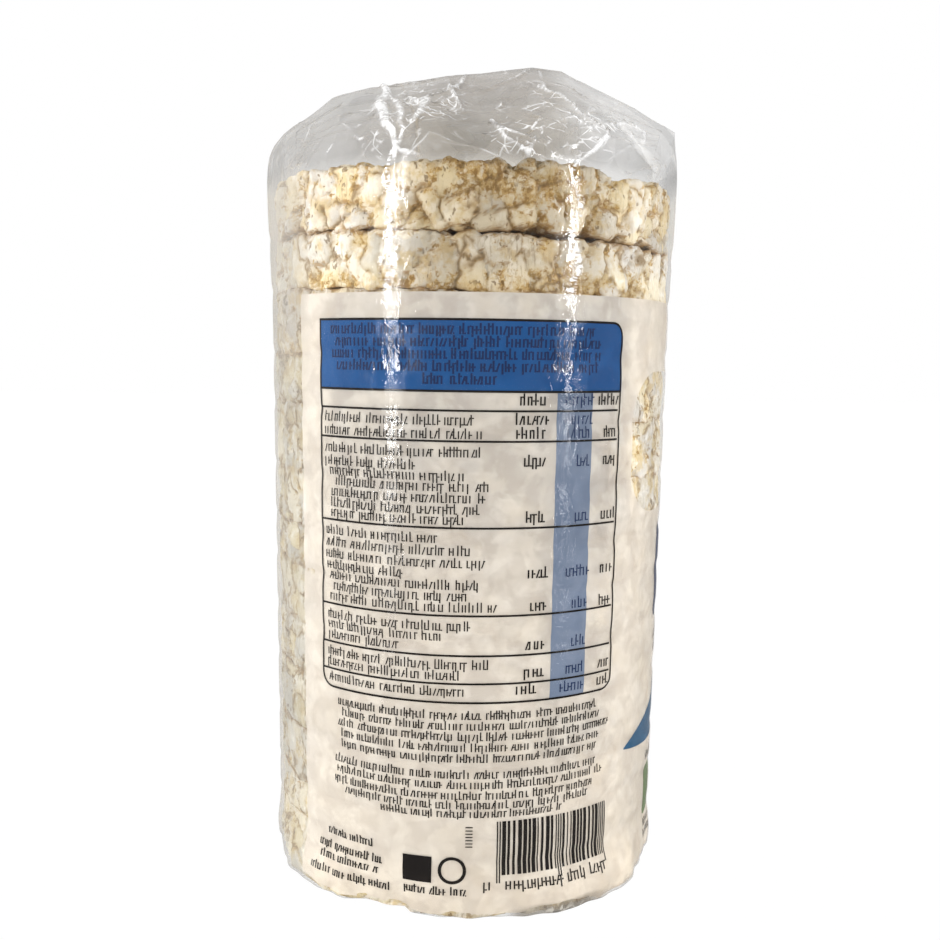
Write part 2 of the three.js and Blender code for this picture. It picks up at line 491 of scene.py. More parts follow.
def filmShell():
    segments = film["segments"]
    angles = np.arange(segments) / segments * 2 * math.pi
    rings = []
    foot = pack["footRound"]
    innerRadius = pack["radius"] - foot
    for step in range(1, film["underRings"] + 1):
        share = step / film["underRings"]
        pleat = film["underPleat"] * (0.5 + 0.5 * np.sin(26 * angles + 2 * share)) * math.sin(math.pi * share)
        radius = innerRadius * share + (footBulge(angles, 0.0) - film["footTuck"]) * share ** 4
        pleat = pleat + footChip(angles) * share ** 8
        rings.append(np.stack([radius * np.sin(angles), -radius * np.cos(angles), pleat], -1))
    for step in range(1, film["footSteps"]):
        height = foot * (1 - math.cos(step / film["footSteps"] * math.pi / 2))
        rings.append(wallPoint(angles, height + 0 * angles))
    wallRows = int((stackHeight - foot) / film["wallPitch"])
    for row in range(wallRows):
        rings.append(wallPoint(angles, foot + (stackHeight - foot) * row / wallRows + 0 * angles))
    outward = np.stack([np.sin(angles), -np.cos(angles), 0 * angles], -1)
    for ring in rings[film["underRings"]:]:
        height = ring[:, 2].copy()
        tuck = film["footTuck"] * (1 - smoothStep(height, 1.5, 5.0))
        ring += outward * (footBulge(angles, height) - tuck)[:, None]
        ring[:, 2] += footChip(angles) * (1 - smoothStep(height, 0.0, 5.0))
    headFirst = len(rings) * segments
    for step in range(film["headRings"] + 1):
        rings.append(headPoint(angles, step / film["headRings"] + 0 * angles))
    points = np.concatenate(rings)

    # The folds lift the head along its own outward direction.
    head = points[headFirst:]
    angle = np.tile(angles, film["headRings"] + 1)
    lift, crease = foldHeights(head)
    edge = np.repeat(np.arange(film["headRings"] + 1) / film["headRings"], segments)
    lift *= 1 - smoothStep(edge, 0.96, 1.0)
    band = smoothStep(edge, 0.70, 0.715) * (1 - smoothStep(edge, 0.93, 0.95)) * (np.cos(angle) < -0.35)
    lift += band * (0.45 + 0.22 * np.cos(edge * film["headRings"] * math.pi / 2))
    outwards = np.stack([np.sin(angle) * 0.6, -np.cos(angle) * 0.6, 0.8 + 0 * angle], -1)
    head += outwards * lift[:, None]

    faces = ringFaces(len(rings), segments)
    centre = len(points)
    points = np.concatenate([points, [[0, 0, film["underPleat"]]]])
    faces += [(centre, (side + 1) % segments, side) for side in range(segments)]
    top = (len(rings) - 1) * segments
    quarter = segments // 4
    for step in range(2 * quarter):
        front, nextFront = (top + (step + more - quarter) % segments for more in (0, 1))
        back, nextBack = (top + (3 * quarter - step - more) % segments for more in (0, 1))
        if step == 0:
            faces.append((front, nextFront, nextBack))
        elif step == 2 * quarter - 1:
            faces.append((front, nextFront, back))
        else:
            faces.append((front, nextFront, nextBack, back))
    piece = buildMesh("clearFilm", points * mm, faces)
    mask = np.zeros(len(points), np.float32)
    mask[headFirst:headFirst + len(crease)] = crease
    turn = np.degrees(np.arctan2(points[:, 0], -points[:, 1]))
    low = (1 - smoothStep(points[:, 2], 1.8, 3.2)) * between(turn, *places["filmGathered"])
    folds = [np.abs(np.sin(turn * rate + points[:, 2] * slant)) for rate, slant in ((0.9, 1.1), (0.61, -1.4))]
    pinched = low * between(turn, *places["filmPinched"])
    mask = np.maximum(mask, pinched * np.clip(1.25 - 1.7 * np.minimum(*folds), 0, 1)).astype(np.float32)
    seal, crazed = (np.zeros(len(points)) for _ in range(2))
    seal[headFirst:headFirst + len(band)] = band
    crazed[headFirst:headFirst + len(edge)] = shatter(angle, edge)
    lap = 1 - smoothStep(np.degrees(turnsApart(np.radians(turn), math.radians(pack["sealAngle"]))), 6.6, 7.2)
    lap = lap * (points[:, 2] < stackHeight)
    masks = {"crease": mask, "seal": seal, "lap": lap, "crazed": crazed, "gathered": low}
    for title, values in masks.items():
        writeMask(piece, title, values)
    return piece


def crumpleTree():
    # Flat crumpled facets in the loose head, and a slight ripple in the tight wall.
    tree, g, given, end = geometryTree("crumpleFilm", {
        "Facet Size": "Float", "Facet Height": "Float", "Crinkle Size": "Float", "Crinkle Height": "Float",
        "Ripple Height": "Float", "Head Bottom": "Float",
    })
    place = g.scaled(g.add("GeometryNodeInputPosition"), 1000)
    height = g.axis(place, "Z")
    loose = g.spread(height, given["Head Bottom"], g.plus(given["Head Bottom"], 7.0))
    warped = g.bent(place, 0.08, 6.0)
    facet = g.cells(warped, g.over(1.0, given["Facet Size"]), metric="MANHATTAN")
    facet = g.times(g.minus(facet, 0.55), given["Facet Height"])
    crinkle = g.cells(warped, g.over(1.0, given["Crinkle Size"]), metric="MANHATTAN")
    crinkle = g.times(g.minus(crinkle, 0.55), given["Crinkle Height"])
    patches = g.spread(g.noise(place, 0.07), 0.42, 0.6)
    folded = g.plus(facet, g.times(crinkle, patches))
    ripple = g.noise(g.stretch(place, (0.11, 0.11, 0.3)), 1.0, detail=3.0)
    ripple = g.times(g.minus(ripple, 0.62), given["Ripple Height"])
    standing = g.spread(height, 1.0, 4.0)
    ripple = g.times(ripple, standing)
    offset = g.plus(g.times(folded, loose), ripple)
    push = g.scaled(g.add("GeometryNodeInputNormal"), g.times(offset, mm))
    end(g.add("GeometryNodeSetPosition", {"Geometry": given["Geometry"], "Offset": push}))
    return tree


filmTones = {
    "wall": (0.965, 0.965, 0.96, 1),
    # the loose head, from its left to its right, and low and high in its middle; its browner low middle is
    # partly a doubled layer and partly a painted reflection of the cakes' top, and its lighter right and edge
    # a painted reflection of the right lamp
    "headLeft": (0.79, 0.783, 0.773, 1),
    "headLowCakeReflection": (0.65, 0.622, 0.572, 1),
    "headHigh": (0.735, 0.715, 0.69, 1),
    "headRightLampReflection": (0.94, 0.935, 0.93, 1),
    "headEdgeLampReflection": (0.985, 0.985, 0.985, 1),
    "gathered": (0.52, 0.48, 0.43, 1),
    # white of the haze, also the painted highlight along the creases
    "hazeAndGlintWhite": (0.95, 0.95, 0.95, 1),
    "veil": (0.47, 0.44, 0.385, 1),
    "gloss": (0.97, 0.97, 0.97, 1),
}
# Painted highlight: white wavy upright bands over the top cakes, where the lamps' streaks fall, as (middle,
# swing to both sides, height above which it is narrow).
streakGlintLines = [(21.2, 0.8, 157.0), (-16.6, 0.6, 162.0)]
streakGlintWave = {"length": 11.6, "phase": -82.3}
sealRibs = 1.3  # from one crimped rib to the next


def headTint(g, place, bent, side, height):
    # Grey of the loose head, a little different from one flat facet to the next, with painted reflections:
    # browner low in the middle for the cakes' top, and lighter at the right for the right lamp.
    drift = g.timesPlus(g.noise(place, 60.0, distortion=0.5), 16 * mm, g.minus(side, 8 * mm))
    middle = g.mixColour(g.rise(height, 168, 187), filmTones["headLowCakeReflection"], filmTones["headHigh"])
    tint = g.mixColour(g.rise(drift, -30, -6), filmTones["headLeft"], middle)
    tint = g.mixColour(g.rise(drift, 14, 24), tint, filmTones["headRightLampReflection"])
    tint = g.mixColour(g.rise(drift, 24, 34), tint, filmTones["headEdgeLampReflection"])
    facets, chips = (g.axis(g.cells(bent, scale, output="Color"), "X") for scale in (55.0, 130.0))
    plies = g.plus(g.spread(facets, 0.0, 1.0, 0.88, 1.02), g.spread(chips, 0.0, 1.0, -0.045, 0.045))
    doubled = g.times(g.rise(height, 170, 165, 0.0, -0.1), g.rise(drift, -30, -10))
    plies = g.plus(plies, g.rise(height, 170, 190, -0.01, 0.045), doubled)
    return g.mixColour(1.0, tint, g.grey(plies), "MULTIPLY")


def foldLines(g, place, bent, loose, crazed):
    # Straight fold lines between facets, and hair-fine crazing.
    lines = g.spread(g.cells(bent, 55.0, feature="DISTANCE_TO_EDGE"), 0.0, 0.016, 1.0, 0.0)
    lines = g.times(lines, loose, g.spread(g.noise(place, 90.0, detail=3.0), 0.48, 0.62))
    shards = 0.0
    for lean, scale in ((0.9, 210.0), (-0.5, 260.0)):
        turned = g.add("ShaderNodeVectorRotate", {"Vector": bent, "Angle": lean}, rotation_type="Y_AXIS")
        needles = g.cells(g.stretch(turned, (0.45, 1.0, 1.6)), scale, feature="DISTANCE_TO_EDGE")
        parted = g.spread(g.noise(turned, 170.0, detail=3.0), 0.52, 0.6)
        shards = g.larger(shards, g.times(g.spread(needles, 0.01, 0.05, 1.0, 0.0), parted))
    return lines, g.times(shards, crazed)


def streakGlintMask(g, place, side, front, height):
    # Painted highlight: two white wavy upright bands at the front of the tight film over the top cakes, where
    # the lamps' streaks fall, broken into short rungs.
    rungs = g.noise(g.stretch(place, (420.0, 420.0, 1900.0)), 1.0, detail=3.0, roughness=0.6)
    rungs = g.times(g.spread(rungs, 0.46, 0.6), g.rise(front, 0.0, -5))
    rungs = g.times(rungs, g.rise(height, 133, 137), g.rise(height, 166, 164))
    streakGlints = 0.0
    for middle, swing, narrowAbove in streakGlintLines:
        turn = g.timesPlus(height, 2 * math.pi / (streakGlintWave["length"] * mm), streakGlintWave["phase"])
        away = g.minus(side, g.timesPlus(g.math("SINE", turn), swing * mm, middle * mm))
        wide = g.rise(height, narrowAbove, narrowAbove - 4, 0.5 * mm, 1.3 * mm)
        streakGlints = g.larger(streakGlints, g.spread(g.over(g.math("ABSOLUTE", away), wide), 1.0, 0.3))
    return g.times(streakGlints, rungs)


def filmMaterial():
    made, g, surface = newMaterial("clear glossy film")
    place = objectPlace(g)
    crease, seal, lap, crazed, gathered = (
        g.attribute(title) for title in ("crease", "seal", "lap", "crazed", "gathered"))
    side, front, height = g.axes(place)
    loose = g.rise(height, 161, 165)
    broken = g.spread(g.noise(place, 420.0, detail=4.0, roughness=0.7), 0.38, 0.6)
    cloudy = g.noise(place, 45.0, detail=3.0, roughness=0.55)
    bent = g.bent(place, 35.0, 0.012)
    tint = g.mixColour(loose, filmTones["wall"], headTint(g, place, bent, side, height))
    gatheredShare = g.times(gathered, g.spread(cloudy, 0.4, 0.55, 0.4, 1.0))
    tint = g.mixColour(gatheredShare, tint, filmTones["gathered"])
    clear = g.add("ShaderNodeBsdfTransparent", {"Color": tint})
    lines, shards = foldLines(g, place, bent, loose, crazed)
    streakGlints = streakGlintMask(g, place, side, front, height)
    upright = g.noise(g.stretch(place, (520.0, 520.0, 26.0)), 1.0, detail=3.0, roughness=0.6)
    upright = g.times(g.spread(upright, 0.5, 0.66), g.rise(side, -38, -44), g.rise(height, 105, 150))
    ribs = g.times(g.math("SINE", g.times(height, 2 * math.pi / (sealRibs * mm))), seal)
    normal = g.add("ShaderNodeBump", {
        "Strength": 0.12, "Distance": 0.15 * mm, "Height": g.plus(ribs, g.times(upright, 1.5)),
        "Normal": rippleNormal(g, g.spread(loose, 0.0, 1.0, 0.52, 0.2, smooth=False))})
    grazingReflection = g.math("POWER", g.add("ShaderNodeLayerWeight", {"Blend": 0.5}, "Facing"), 8.0)
    # How white each kind of mark makes the film: the whitening at grazing angles is partly haze and partly a
    # painted reflection, and the streak glints are painted highlights.
    haze = g.times(g.spread(cloudy, 0.35, 0.8), g.timesPlus(loose, 0.1, 0.004))
    marks = (
        (seal, 0.06), (lap, 0.1), (grazingReflection, 0.2), (upright, 0.22), (lines, 0.3), (shards, 0.75),
        (streakGlints, 0.8))
    for mask, share in marks:
        haze = g.timesPlus(mask, share, haze)
    veil = g.times(g.rise(side, -33, -41), g.rise(height, 90, 145, 0.16, 0.42), g.rise(height, 166, 160))
    veil = g.larger(veil, g.times(gathered, 0.4))
    # Painted highlight: the creases are whitened, standing in for the lamps' glints along them.
    hazeAndGlintWhite = g.times(g.spread(crease, 0.3, 0.8), g.timesPlus(broken, 0.65, 0.3))
    haze = g.plus(g.larger(haze, veil), hazeAndGlintWhite, clamp=True)
    milk = g.add("ShaderNodeBsdfPrincipled", {
        "Base Color": g.mixColour(g.spread(veil, 0.0, 0.15), filmTones["hazeAndGlintWhite"], filmTones["veil"]),
        "Roughness": 0.35, "Specular IOR Level": 0.3, "Normal": normal})
    hazy = g.add("ShaderNodeMixShader", {0: haze, 1: clear, 2: milk})
    patchy = g.noise(g.stretch(place, (1.0, 1.0, 0.55)), 230.0, detail=4.0, roughness=0.6)
    inside = g.add("ShaderNodeNewGeometry", output="Backfacing")
    rough = g.timesPlus(inside, 0.3, g.spread(patchy, 0.4, 0.62, 0.07, 0.24))
    mirror = g.add("ShaderNodeBsdfPrincipled", {
        "Base Color": filmTones["gloss"], "Metallic": 1.0, "Normal": normal, "Roughness": rough})
    index = g.spread(inside, 0.0, 1.0, 1.5, 1 / 1.5, smooth=False)
    gloss = g.add("ShaderNodeFresnel", {"IOR": index, "Normal": normal})
    gloss = g.math("MINIMUM", g.times(gloss, 1.6), 0.3)
    shiny = g.add("ShaderNodeMixShader", {0: gloss, 1: hazy, 2: mirror})
    # Light on its way to the cakes meets the tint and the haze alone, which also saves render time.
    passed = g.mixColour(haze, tint, (0.0, 0.0, 0.0, 1))
    shaded = g.add("ShaderNodeBsdfTransparent", {"Color": passed})
    shadow = g.add("ShaderNodeLightPath", output="Is Shadow Ray")
    g.tree.links.new(g.add("ShaderNodeMixShader", {0: shadow, 1: shiny, 2: shaded}), surface)
    return made


clearFilm = filmShell()
runTree(clearFilm, crumpleTree(), {
    "Facet Size": film["facetSize"], "Facet Height": film["facetHeight"],
    "Crinkle Size": film["crinkleSize"], "Crinkle Height": film["crinkleHeight"],
    "Ripple Height": film["rippleHeight"], "Head Bottom": stackHeight + 0.5, "Material": filmMaterial()})
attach(clearFilm, "root")
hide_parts("film_pack")
print("film", len(clearFilm.data.polygons), "faces")


# The rice cakes.
cake = {
    "radius": 47.6,
    "rimRound": 0.6,
    "openRimRound": 1.4,
    "segments": 440,
    "sidePitch": 0.58,
    "rimSteps": 5,
    "clearance": -0.3,
    "floorGap": 0.3,
    "filmGap": 0.4,
    "grainSize": 5.3,
    "faceDepth": 0.25,
    "topFaceDepth": 0.8,
    "pressedFlat": 0.75,
    "creaseWidth": 0.5,
    "unevenness": 0.7,
    "bitSize": 1.7,
    "bitDepth": 0.6,
    "rimDepth": 0.8,
    "topRings": 56,
    "toastedShadedRim": 1.3,
}
# Painted light and shade of the cakes, as tints at the left, in the middle and at the right.
footLightShade = ((0.91, 0.92, 0.88), (0.83, 0.83, 0.82), (1.04, 1.06, 1.08))
lowLightShade = ((0.765, 0.775, 0.75), (0.83, 0.83, 0.82), (1.04, 1.06, 1.08))
thirdLightShade = ((0.8, 0.79, 0.76), (0.8, 0.78, 0.72), (1.0, 1.01, 1.02))
secondLightShade = ((0.99, 0.99, 0.95), (0.69, 0.655, 0.58), (1.02, 1.04, 1.06))
topLightShade = ((1.04, 1.035, 1.015), (0.68, 0.635, 0.54), (0.94, 0.93, 0.895))
# For each cake from the bottom up: how long the grains stand, how large they are, how deep the creases
# go between them, how much bran shows, and its tint of painted light and shade.
cakeMood = [
    (1.5, 1.0, 0.55, 0.2, footLightShade), (1.3, 0.9, 0.55, 0.25, footLightShade),
    (1.6, 1.0, 0.55, 0.25, lowLightShade), (1.2, 1.1, 0.55, 0.3, lowLightShade), (1.5, 0.95, 0.55, 0.2, lowLightShade),
    (1.4, 1.0, 0.55, 0.3, lowLightShade), (1.2, 0.9, 0.55, 0.25, lowLightShade), (1.6, 1.05, 0.55, 0.25, lowLightShade),
    (1.3, 1.0, 0.55, 0.2, lowLightShade), (1.5, 0.95, 0.7, 0.3, lowLightShade), (1.4, 0.9, 0.8, 0.6, thirdLightShade),
    (1.75, 1.25, 1.3, 0.55, secondLightShade), (1.15, 1.15, 1.5, 0.8, topLightShade),
]
printedCakes = 11  # this many from the bottom stand behind the print


def cakeProfile(height, lowRim, highRim, last):
    # From the middle of the underside, up the side and in to the middle of the top: the distance from the
    # axis, the share of the way up, and a rise besides.
    radius = cake["radius"]
    turns = [step / cake["rimSteps"] * math.pi / 2 for step in range(cake["rimSteps"] + 1)]
    shares = (0.97, 0.93, 0.85, 0.6, 0.25)
    profile = [((radius - lowRim) * share, 0.0, 0.0) for share in shares[::-1]]
    for turn in turns:
        profile.append((radius - lowRim * (1 - math.sin(turn)), 0.0, lowRim * (1 - math.cos(turn))))
    rows = int((height - lowRim - highRim) / cake["sidePitch"])
    for row in range(1, rows):
        profile.append((radius, row / rows, lowRim - (lowRim + highRim) * row / rows))
    for turn in turns:
        profile.append((radius - highRim * (1 - math.cos(turn)), 1.0, -highRim * (1 - math.sin(turn))))
    if last:
        shares = [1 - step / cake["topRings"] for step in range(1, cake["topRings"])]
    return profile + [((radius - highRim) * share, 1.0, 0.0) for share in shares]


def lobes(angles, count, phase, index):
    # Grains that stand up or hang down along a rim.
    waves = np.abs(np.sin(count * angles + phase + index))
    return waves + 0.6 * np.abs(np.sin(0.6 * count * angles + 2 * phase * index)) - 0.9


def topLobes(angles):
    waves = 1.1 * np.abs(np.sin(13.5 * angles + 0.8 * np.sin(5 * angles)))
    return waves + 0.6 * np.abs(np.sin(29.5 * angles + 1)) - 1.3


def cakeBlank(index):
    # A plain round cake, with uneven rims.
    low, lowLean = seamPlane(index)
    high, highLean = seamPlane(index + 1)
    last = index == len(cakeMood) - 1
    printed = index < printedCakes
    segments = cake["segments"]
    angles = np.arange(segments) / segments * 2 * math.pi - math.pi
    turn = np.degrees(angles)
    radius = cake["radius"]
    lowRim = cake["openRimRound" if last else "rimRound"]
    highRim = cake["rimRound" if printed else "openRimRound"]
    profile = cakeProfile(high - low, lowRim, highRim, last)
    rings = []
    for r, share, lift in profile:
        level = low + lift + share * (high - low)
        reach = r / radius
        wide = r + 0 * angles
        if printed:
            # Behind the print the rims give way to the film that dips between two cakes.
            room = wallRadius(angles, level - lowLean * np.sin(angles)) - cake["filmGap"]
            room = room - film["footTuck"] * (1 - smoothStep(level, 1.5, 5.0))
            crumbly = between(turn, *places["footCrumbly"]) * (1 - smoothStep(level, 3, 5))
            wide = wide + (np.minimum(wide, room) - wide) * (1 - crumbly)
        bottom = low + (cake["clearance"] if index > 0 else cake["floorGap"])
        bottom = bottom - lowLean * wide * np.sin(angles) / pack["radius"]
        if index == 0:
            wide = wide + footBulge(angles, level) * reach ** 4
            wide = wide + 0.25 * crumbly * (1 - smoothStep(level, 1.0, 2.2)) * reach ** 4
            bottom = bottom + footChip(angles) * reach ** 8
        elif last:
            lifted = 1.4 * between(turn, *places["topCakeLifted"])
            bottom = bottom + lifted * reach ** 11 - lobes(angles, 15, 2.0, index) * 0.6 * reach ** 7
        else:
            bottom = bottom - lobes(angles, 15, 2.0, index) * 0.25 * reach ** 7
        x, y = wide * np.sin(angles), -wide * np.cos(angles)
        top = high - cake["clearance"] - highLean * x / pack["radius"]
        if last:
            dip = 1.5 * between(turn, *places["topCakeSunk"])
            top = top - dip * reach ** 3 + topLobes(angles) * reach ** 9
        else:
            top = top + lobes(angles, 24, 0.5, index) * (0.25 if printed else 0.6) * reach ** 7
        rings.append(np.stack([x, y, bottom + (top - bottom) * share + lift], -1))
    points = np.concatenate(rings)
    faces = ringFaces(len(rings), segments)
    centre = len(points)
    points = np.concatenate([points, [[0, 0, rings[0][:, 2].mean()], [0, 0, rings[-1][:, 2].mean()]]])
    upper = (len(rings) - 1) * segments
    faces += [(centre, (side + 1) % segments, side) for side in range(segments)]
    faces += [(centre + 1, upper + side, upper + (side + 1) % segments) for side in range(segments)]
    piece = buildMesh(f"riceCake{index + 1:02d}", points * mm, faces)
    rims = []
    for r, share, lift in profile:
        fromBottom = lift + share * (high - low)
        fromTop = high - low - fromBottom + 2.0 * last
        rims.append(max(0, 1 - min(fromBottom, fromTop) / cake["toastedShadedRim"]))
    writeMask(piece, "rim", np.append(np.repeat(rims, segments), [1, 1]) * (1.0 if index > 0 else 0.25))
    return piece


def puffTree():
    # Puffed grains pressed together: rounded cells with creases between them, some sunk, with small
    # broken bits.
    tree, g, given, end = geometryTree("puffedGrain", {
        "Grain Size": "Float", "Grain Stretch": "Float", "Crease Depth": "Float", "Crease Width": "Float",
        "Unevenness": "Float", "Bit Size": "Float", "Bit Depth": "Float", "Face Depth": "Float",
        "Seed": "Int",
        "Rim Depth": "Float", "Pressed Flat": "Float", "Radius": "Float",
    })
    place = g.scaled(g.add("GeometryNodeInputPosition"), 1000)
    across = g.stretch(place, (1.0, 1.0, 0.0))
    reach = g.over(g.add("ShaderNodeVectorMath", {0: across}, "Value", operation="LENGTH"), given["Radius"])
    atSide = g.spread(reach, 0.82, 0.95)
    shift = g.add("ShaderNodeCombineXYZ", {
        "X": g.times(given["Seed"], 31.7), "Y": g.times(given["Seed"], 17.3),
        "Z": g.times(given["Seed"], 23.1)})
    place = g.vector("ADD", place, shift)
    broken = g.spread(g.noise(place, 0.12, detail=3.0, roughness=0.6), 0.45, 0.6)
    warped = place
    for scale, roughness, amount in ((0.14, 0.5, 8.0), (0.8, 0.6, 0.9)):
        warp = g.noise(place, scale, detail=3.0, roughness=roughness, output="Color")
        warp = g.vector("SUBTRACT", warp, (0.5, 0.5, 0.5))
        warped = g.vector("ADD", warped, g.stretch(warp, (amount,) * 3))
    pitch = g.over(1.0, given["Grain Size"])
    upright = g.over(pitch, given["Grain Stretch"])
    grain = g.stretch(warped, g.add("ShaderNodeCombineXYZ", {"X": pitch, "Y": pitch, "Z": upright}))
    stored = given["Geometry"]
    for title, value, kind in (("grainPlace", grain, "FLOAT_VECTOR"), ("broken", broken, "FLOAT")):
        stored = g.add("GeometryNodeStoreNamedAttribute", {
            "Geometry": stored, "Name": title, "Value": value}, data_type=kind, domain="POINT")
    edge = g.cells(grain, 1.0, feature="DISTANCE_TO_EDGE")
    inward = g.minus(1.0, g.over(edge, given["Crease Width"]), clamp=True)
    rounded = g.minus(1.0, g.math("SQRT", g.minus(1.0, g.math("POWER", inward, 2.0))))
    gaping = g.spread(g.noise(place, 0.2, detail=2.0), 0.34, 0.62, 0.4, 1.6)
    crease = g.times(g.times(rounded, gaping), given["Crease Depth"])
    chance = g.axis(g.cells(grain, 1.0, output="Color"), "X")
    sunk = g.times(g.math("POWER", chance, 2.0), given["Unevenness"])
    sunk = g.times(sunk, g.spread(edge, 0.0, 0.2))
    bitEdge = g.cells(warped, g.over(1.0, given["Bit Size"]), feature="DISTANCE_TO_EDGE")
    bits = g.times(g.spread(bitEdge, 0.35, 0.0, smooth=False), broken)
    bits = g.times(g.plus(bits, g.times(broken, 0.4)), given["Bit Depth"])
    grit = g.times(g.noise(place, 1.1, detail=4.0, roughness=0.65), 0.4)
    swell = g.times(g.noise(place, 0.09, detail=2.0), 0.9)
    depth = g.plus(g.plus(crease, sunk), g.plus(bits, g.plus(grit, swell)))
    # The side sinks towards the axis, where the film hasn't pressed it flat, and the faces sink up or down.
    inwards = g.math("SMOOTH_MAX", g.minus(depth, given["Pressed Flat"]), 0.0, 0.3)
    inwards = g.times(g.times(inwards, atSide), -mm)
    level = g.axis(g.add("GeometryNodeInputNormal"), "Z")
    facing = g.times(level, g.spread(atSide, 0.0, 1.0, given["Face Depth"], given["Rim Depth"], smooth=False))
    downwards = g.times(g.times(g.minus(depth, 1.2), facing), -mm)
    push = g.scaled(g.vector("NORMALIZE", across), inwards)
    offset = g.vector("ADD", push, g.add("ShaderNodeCombineXYZ", {"Z": downwards}))
    end(g.add("GeometryNodeSetPosition", {"Geometry": stored, "Offset": offset}))
    return tree


# Colours of the grains, from the plain ones to what lies on top of them.
grainTones = {
    "ivory": (0.83, 0.755, 0.63, 1),
    "golden": (0.80, 0.69, 0.47, 1),
    "greyish": (0.69, 0.65, 0.605, 1),
    "cream": (0.81, 0.73, 0.585, 1),
    "upper": (0.74, 0.70, 0.65, 1),
    "tan": (0.67, 0.51, 0.26, 1),
    # painted highlight: pale spots over the grains
    "highlightSpots": (0.93, 0.89, 0.82, 1),
    "fibre": (0.36, 0.28, 0.19, 1),
    # painted shade between the grains: a tan band along each grain's edge and dark brown in the crevices
    "grainRimShade": (0.50, 0.36, 0.18, 1),
    "bran": (0.56, 0.375, 0.13, 1),
    "branChip": (0.31, 0.17, 0.05, 1),
    "branCrumb": (0.88, 0.80, 0.64, 1),
    "speck": (0.17, 0.095, 0.03, 1),
    "creviceShade": (0.22, 0.135, 0.06, 1),
    "hiddenFace": (0.46, 0.29, 0.13, 1),
    # a brown band and dark dots along the rims: toasting, and painted shade of the seams between the cakes
    "toastedShadedRim": (0.43, 0.275, 0.115, 1),
    "toastedShadedDot": (0.23, 0.12, 0.045, 1),
}
# More bran at the front of the cakes in sight, as (left, right, low, high, strength).
branPatches = {
    11: [(-36, 40, 130.0, 142.5, 0.12), (-10, 24, 130.0, 170.0, 0.02)],
    12: [(-9, 22, 155.5, 170.0, 0.11)],
}
paleAbove = {11: 142.0}  # and paler grains from this height up


def branPlaces(g, place, broken, edge, patches):
    # Flaky places of bran, and the flakes themselves.
    side, depth, height = g.axes(place)
    flake = g.noise(place, 420.0, detail=5.0, roughness=0.7, distortion=0.25)
    mask = g.timesPlus(g.minus(g.noise(place, 75.0, detail=3.0), 0.5), 0.4, flake)
    mask = g.timesPlus(g.minus(broken, 0.5), 0.09, mask)
    mask = g.plus(mask, g.spread(edge, 0.0, 0.3, 0.04, -0.03))
    for left, right, low, high, strength in patches:
        there = g.times(
            g.times(g.rise(side, left - 6, left + 4), g.rise(side, right + 4, right - 6)),
            g.rise(height, low - 2, low + 3), g.rise(height, high + 2, high - 3), g.rise(depth, -22, -32))
        mask = g.timesPlus(there, strength, mask)
    return mask, flake


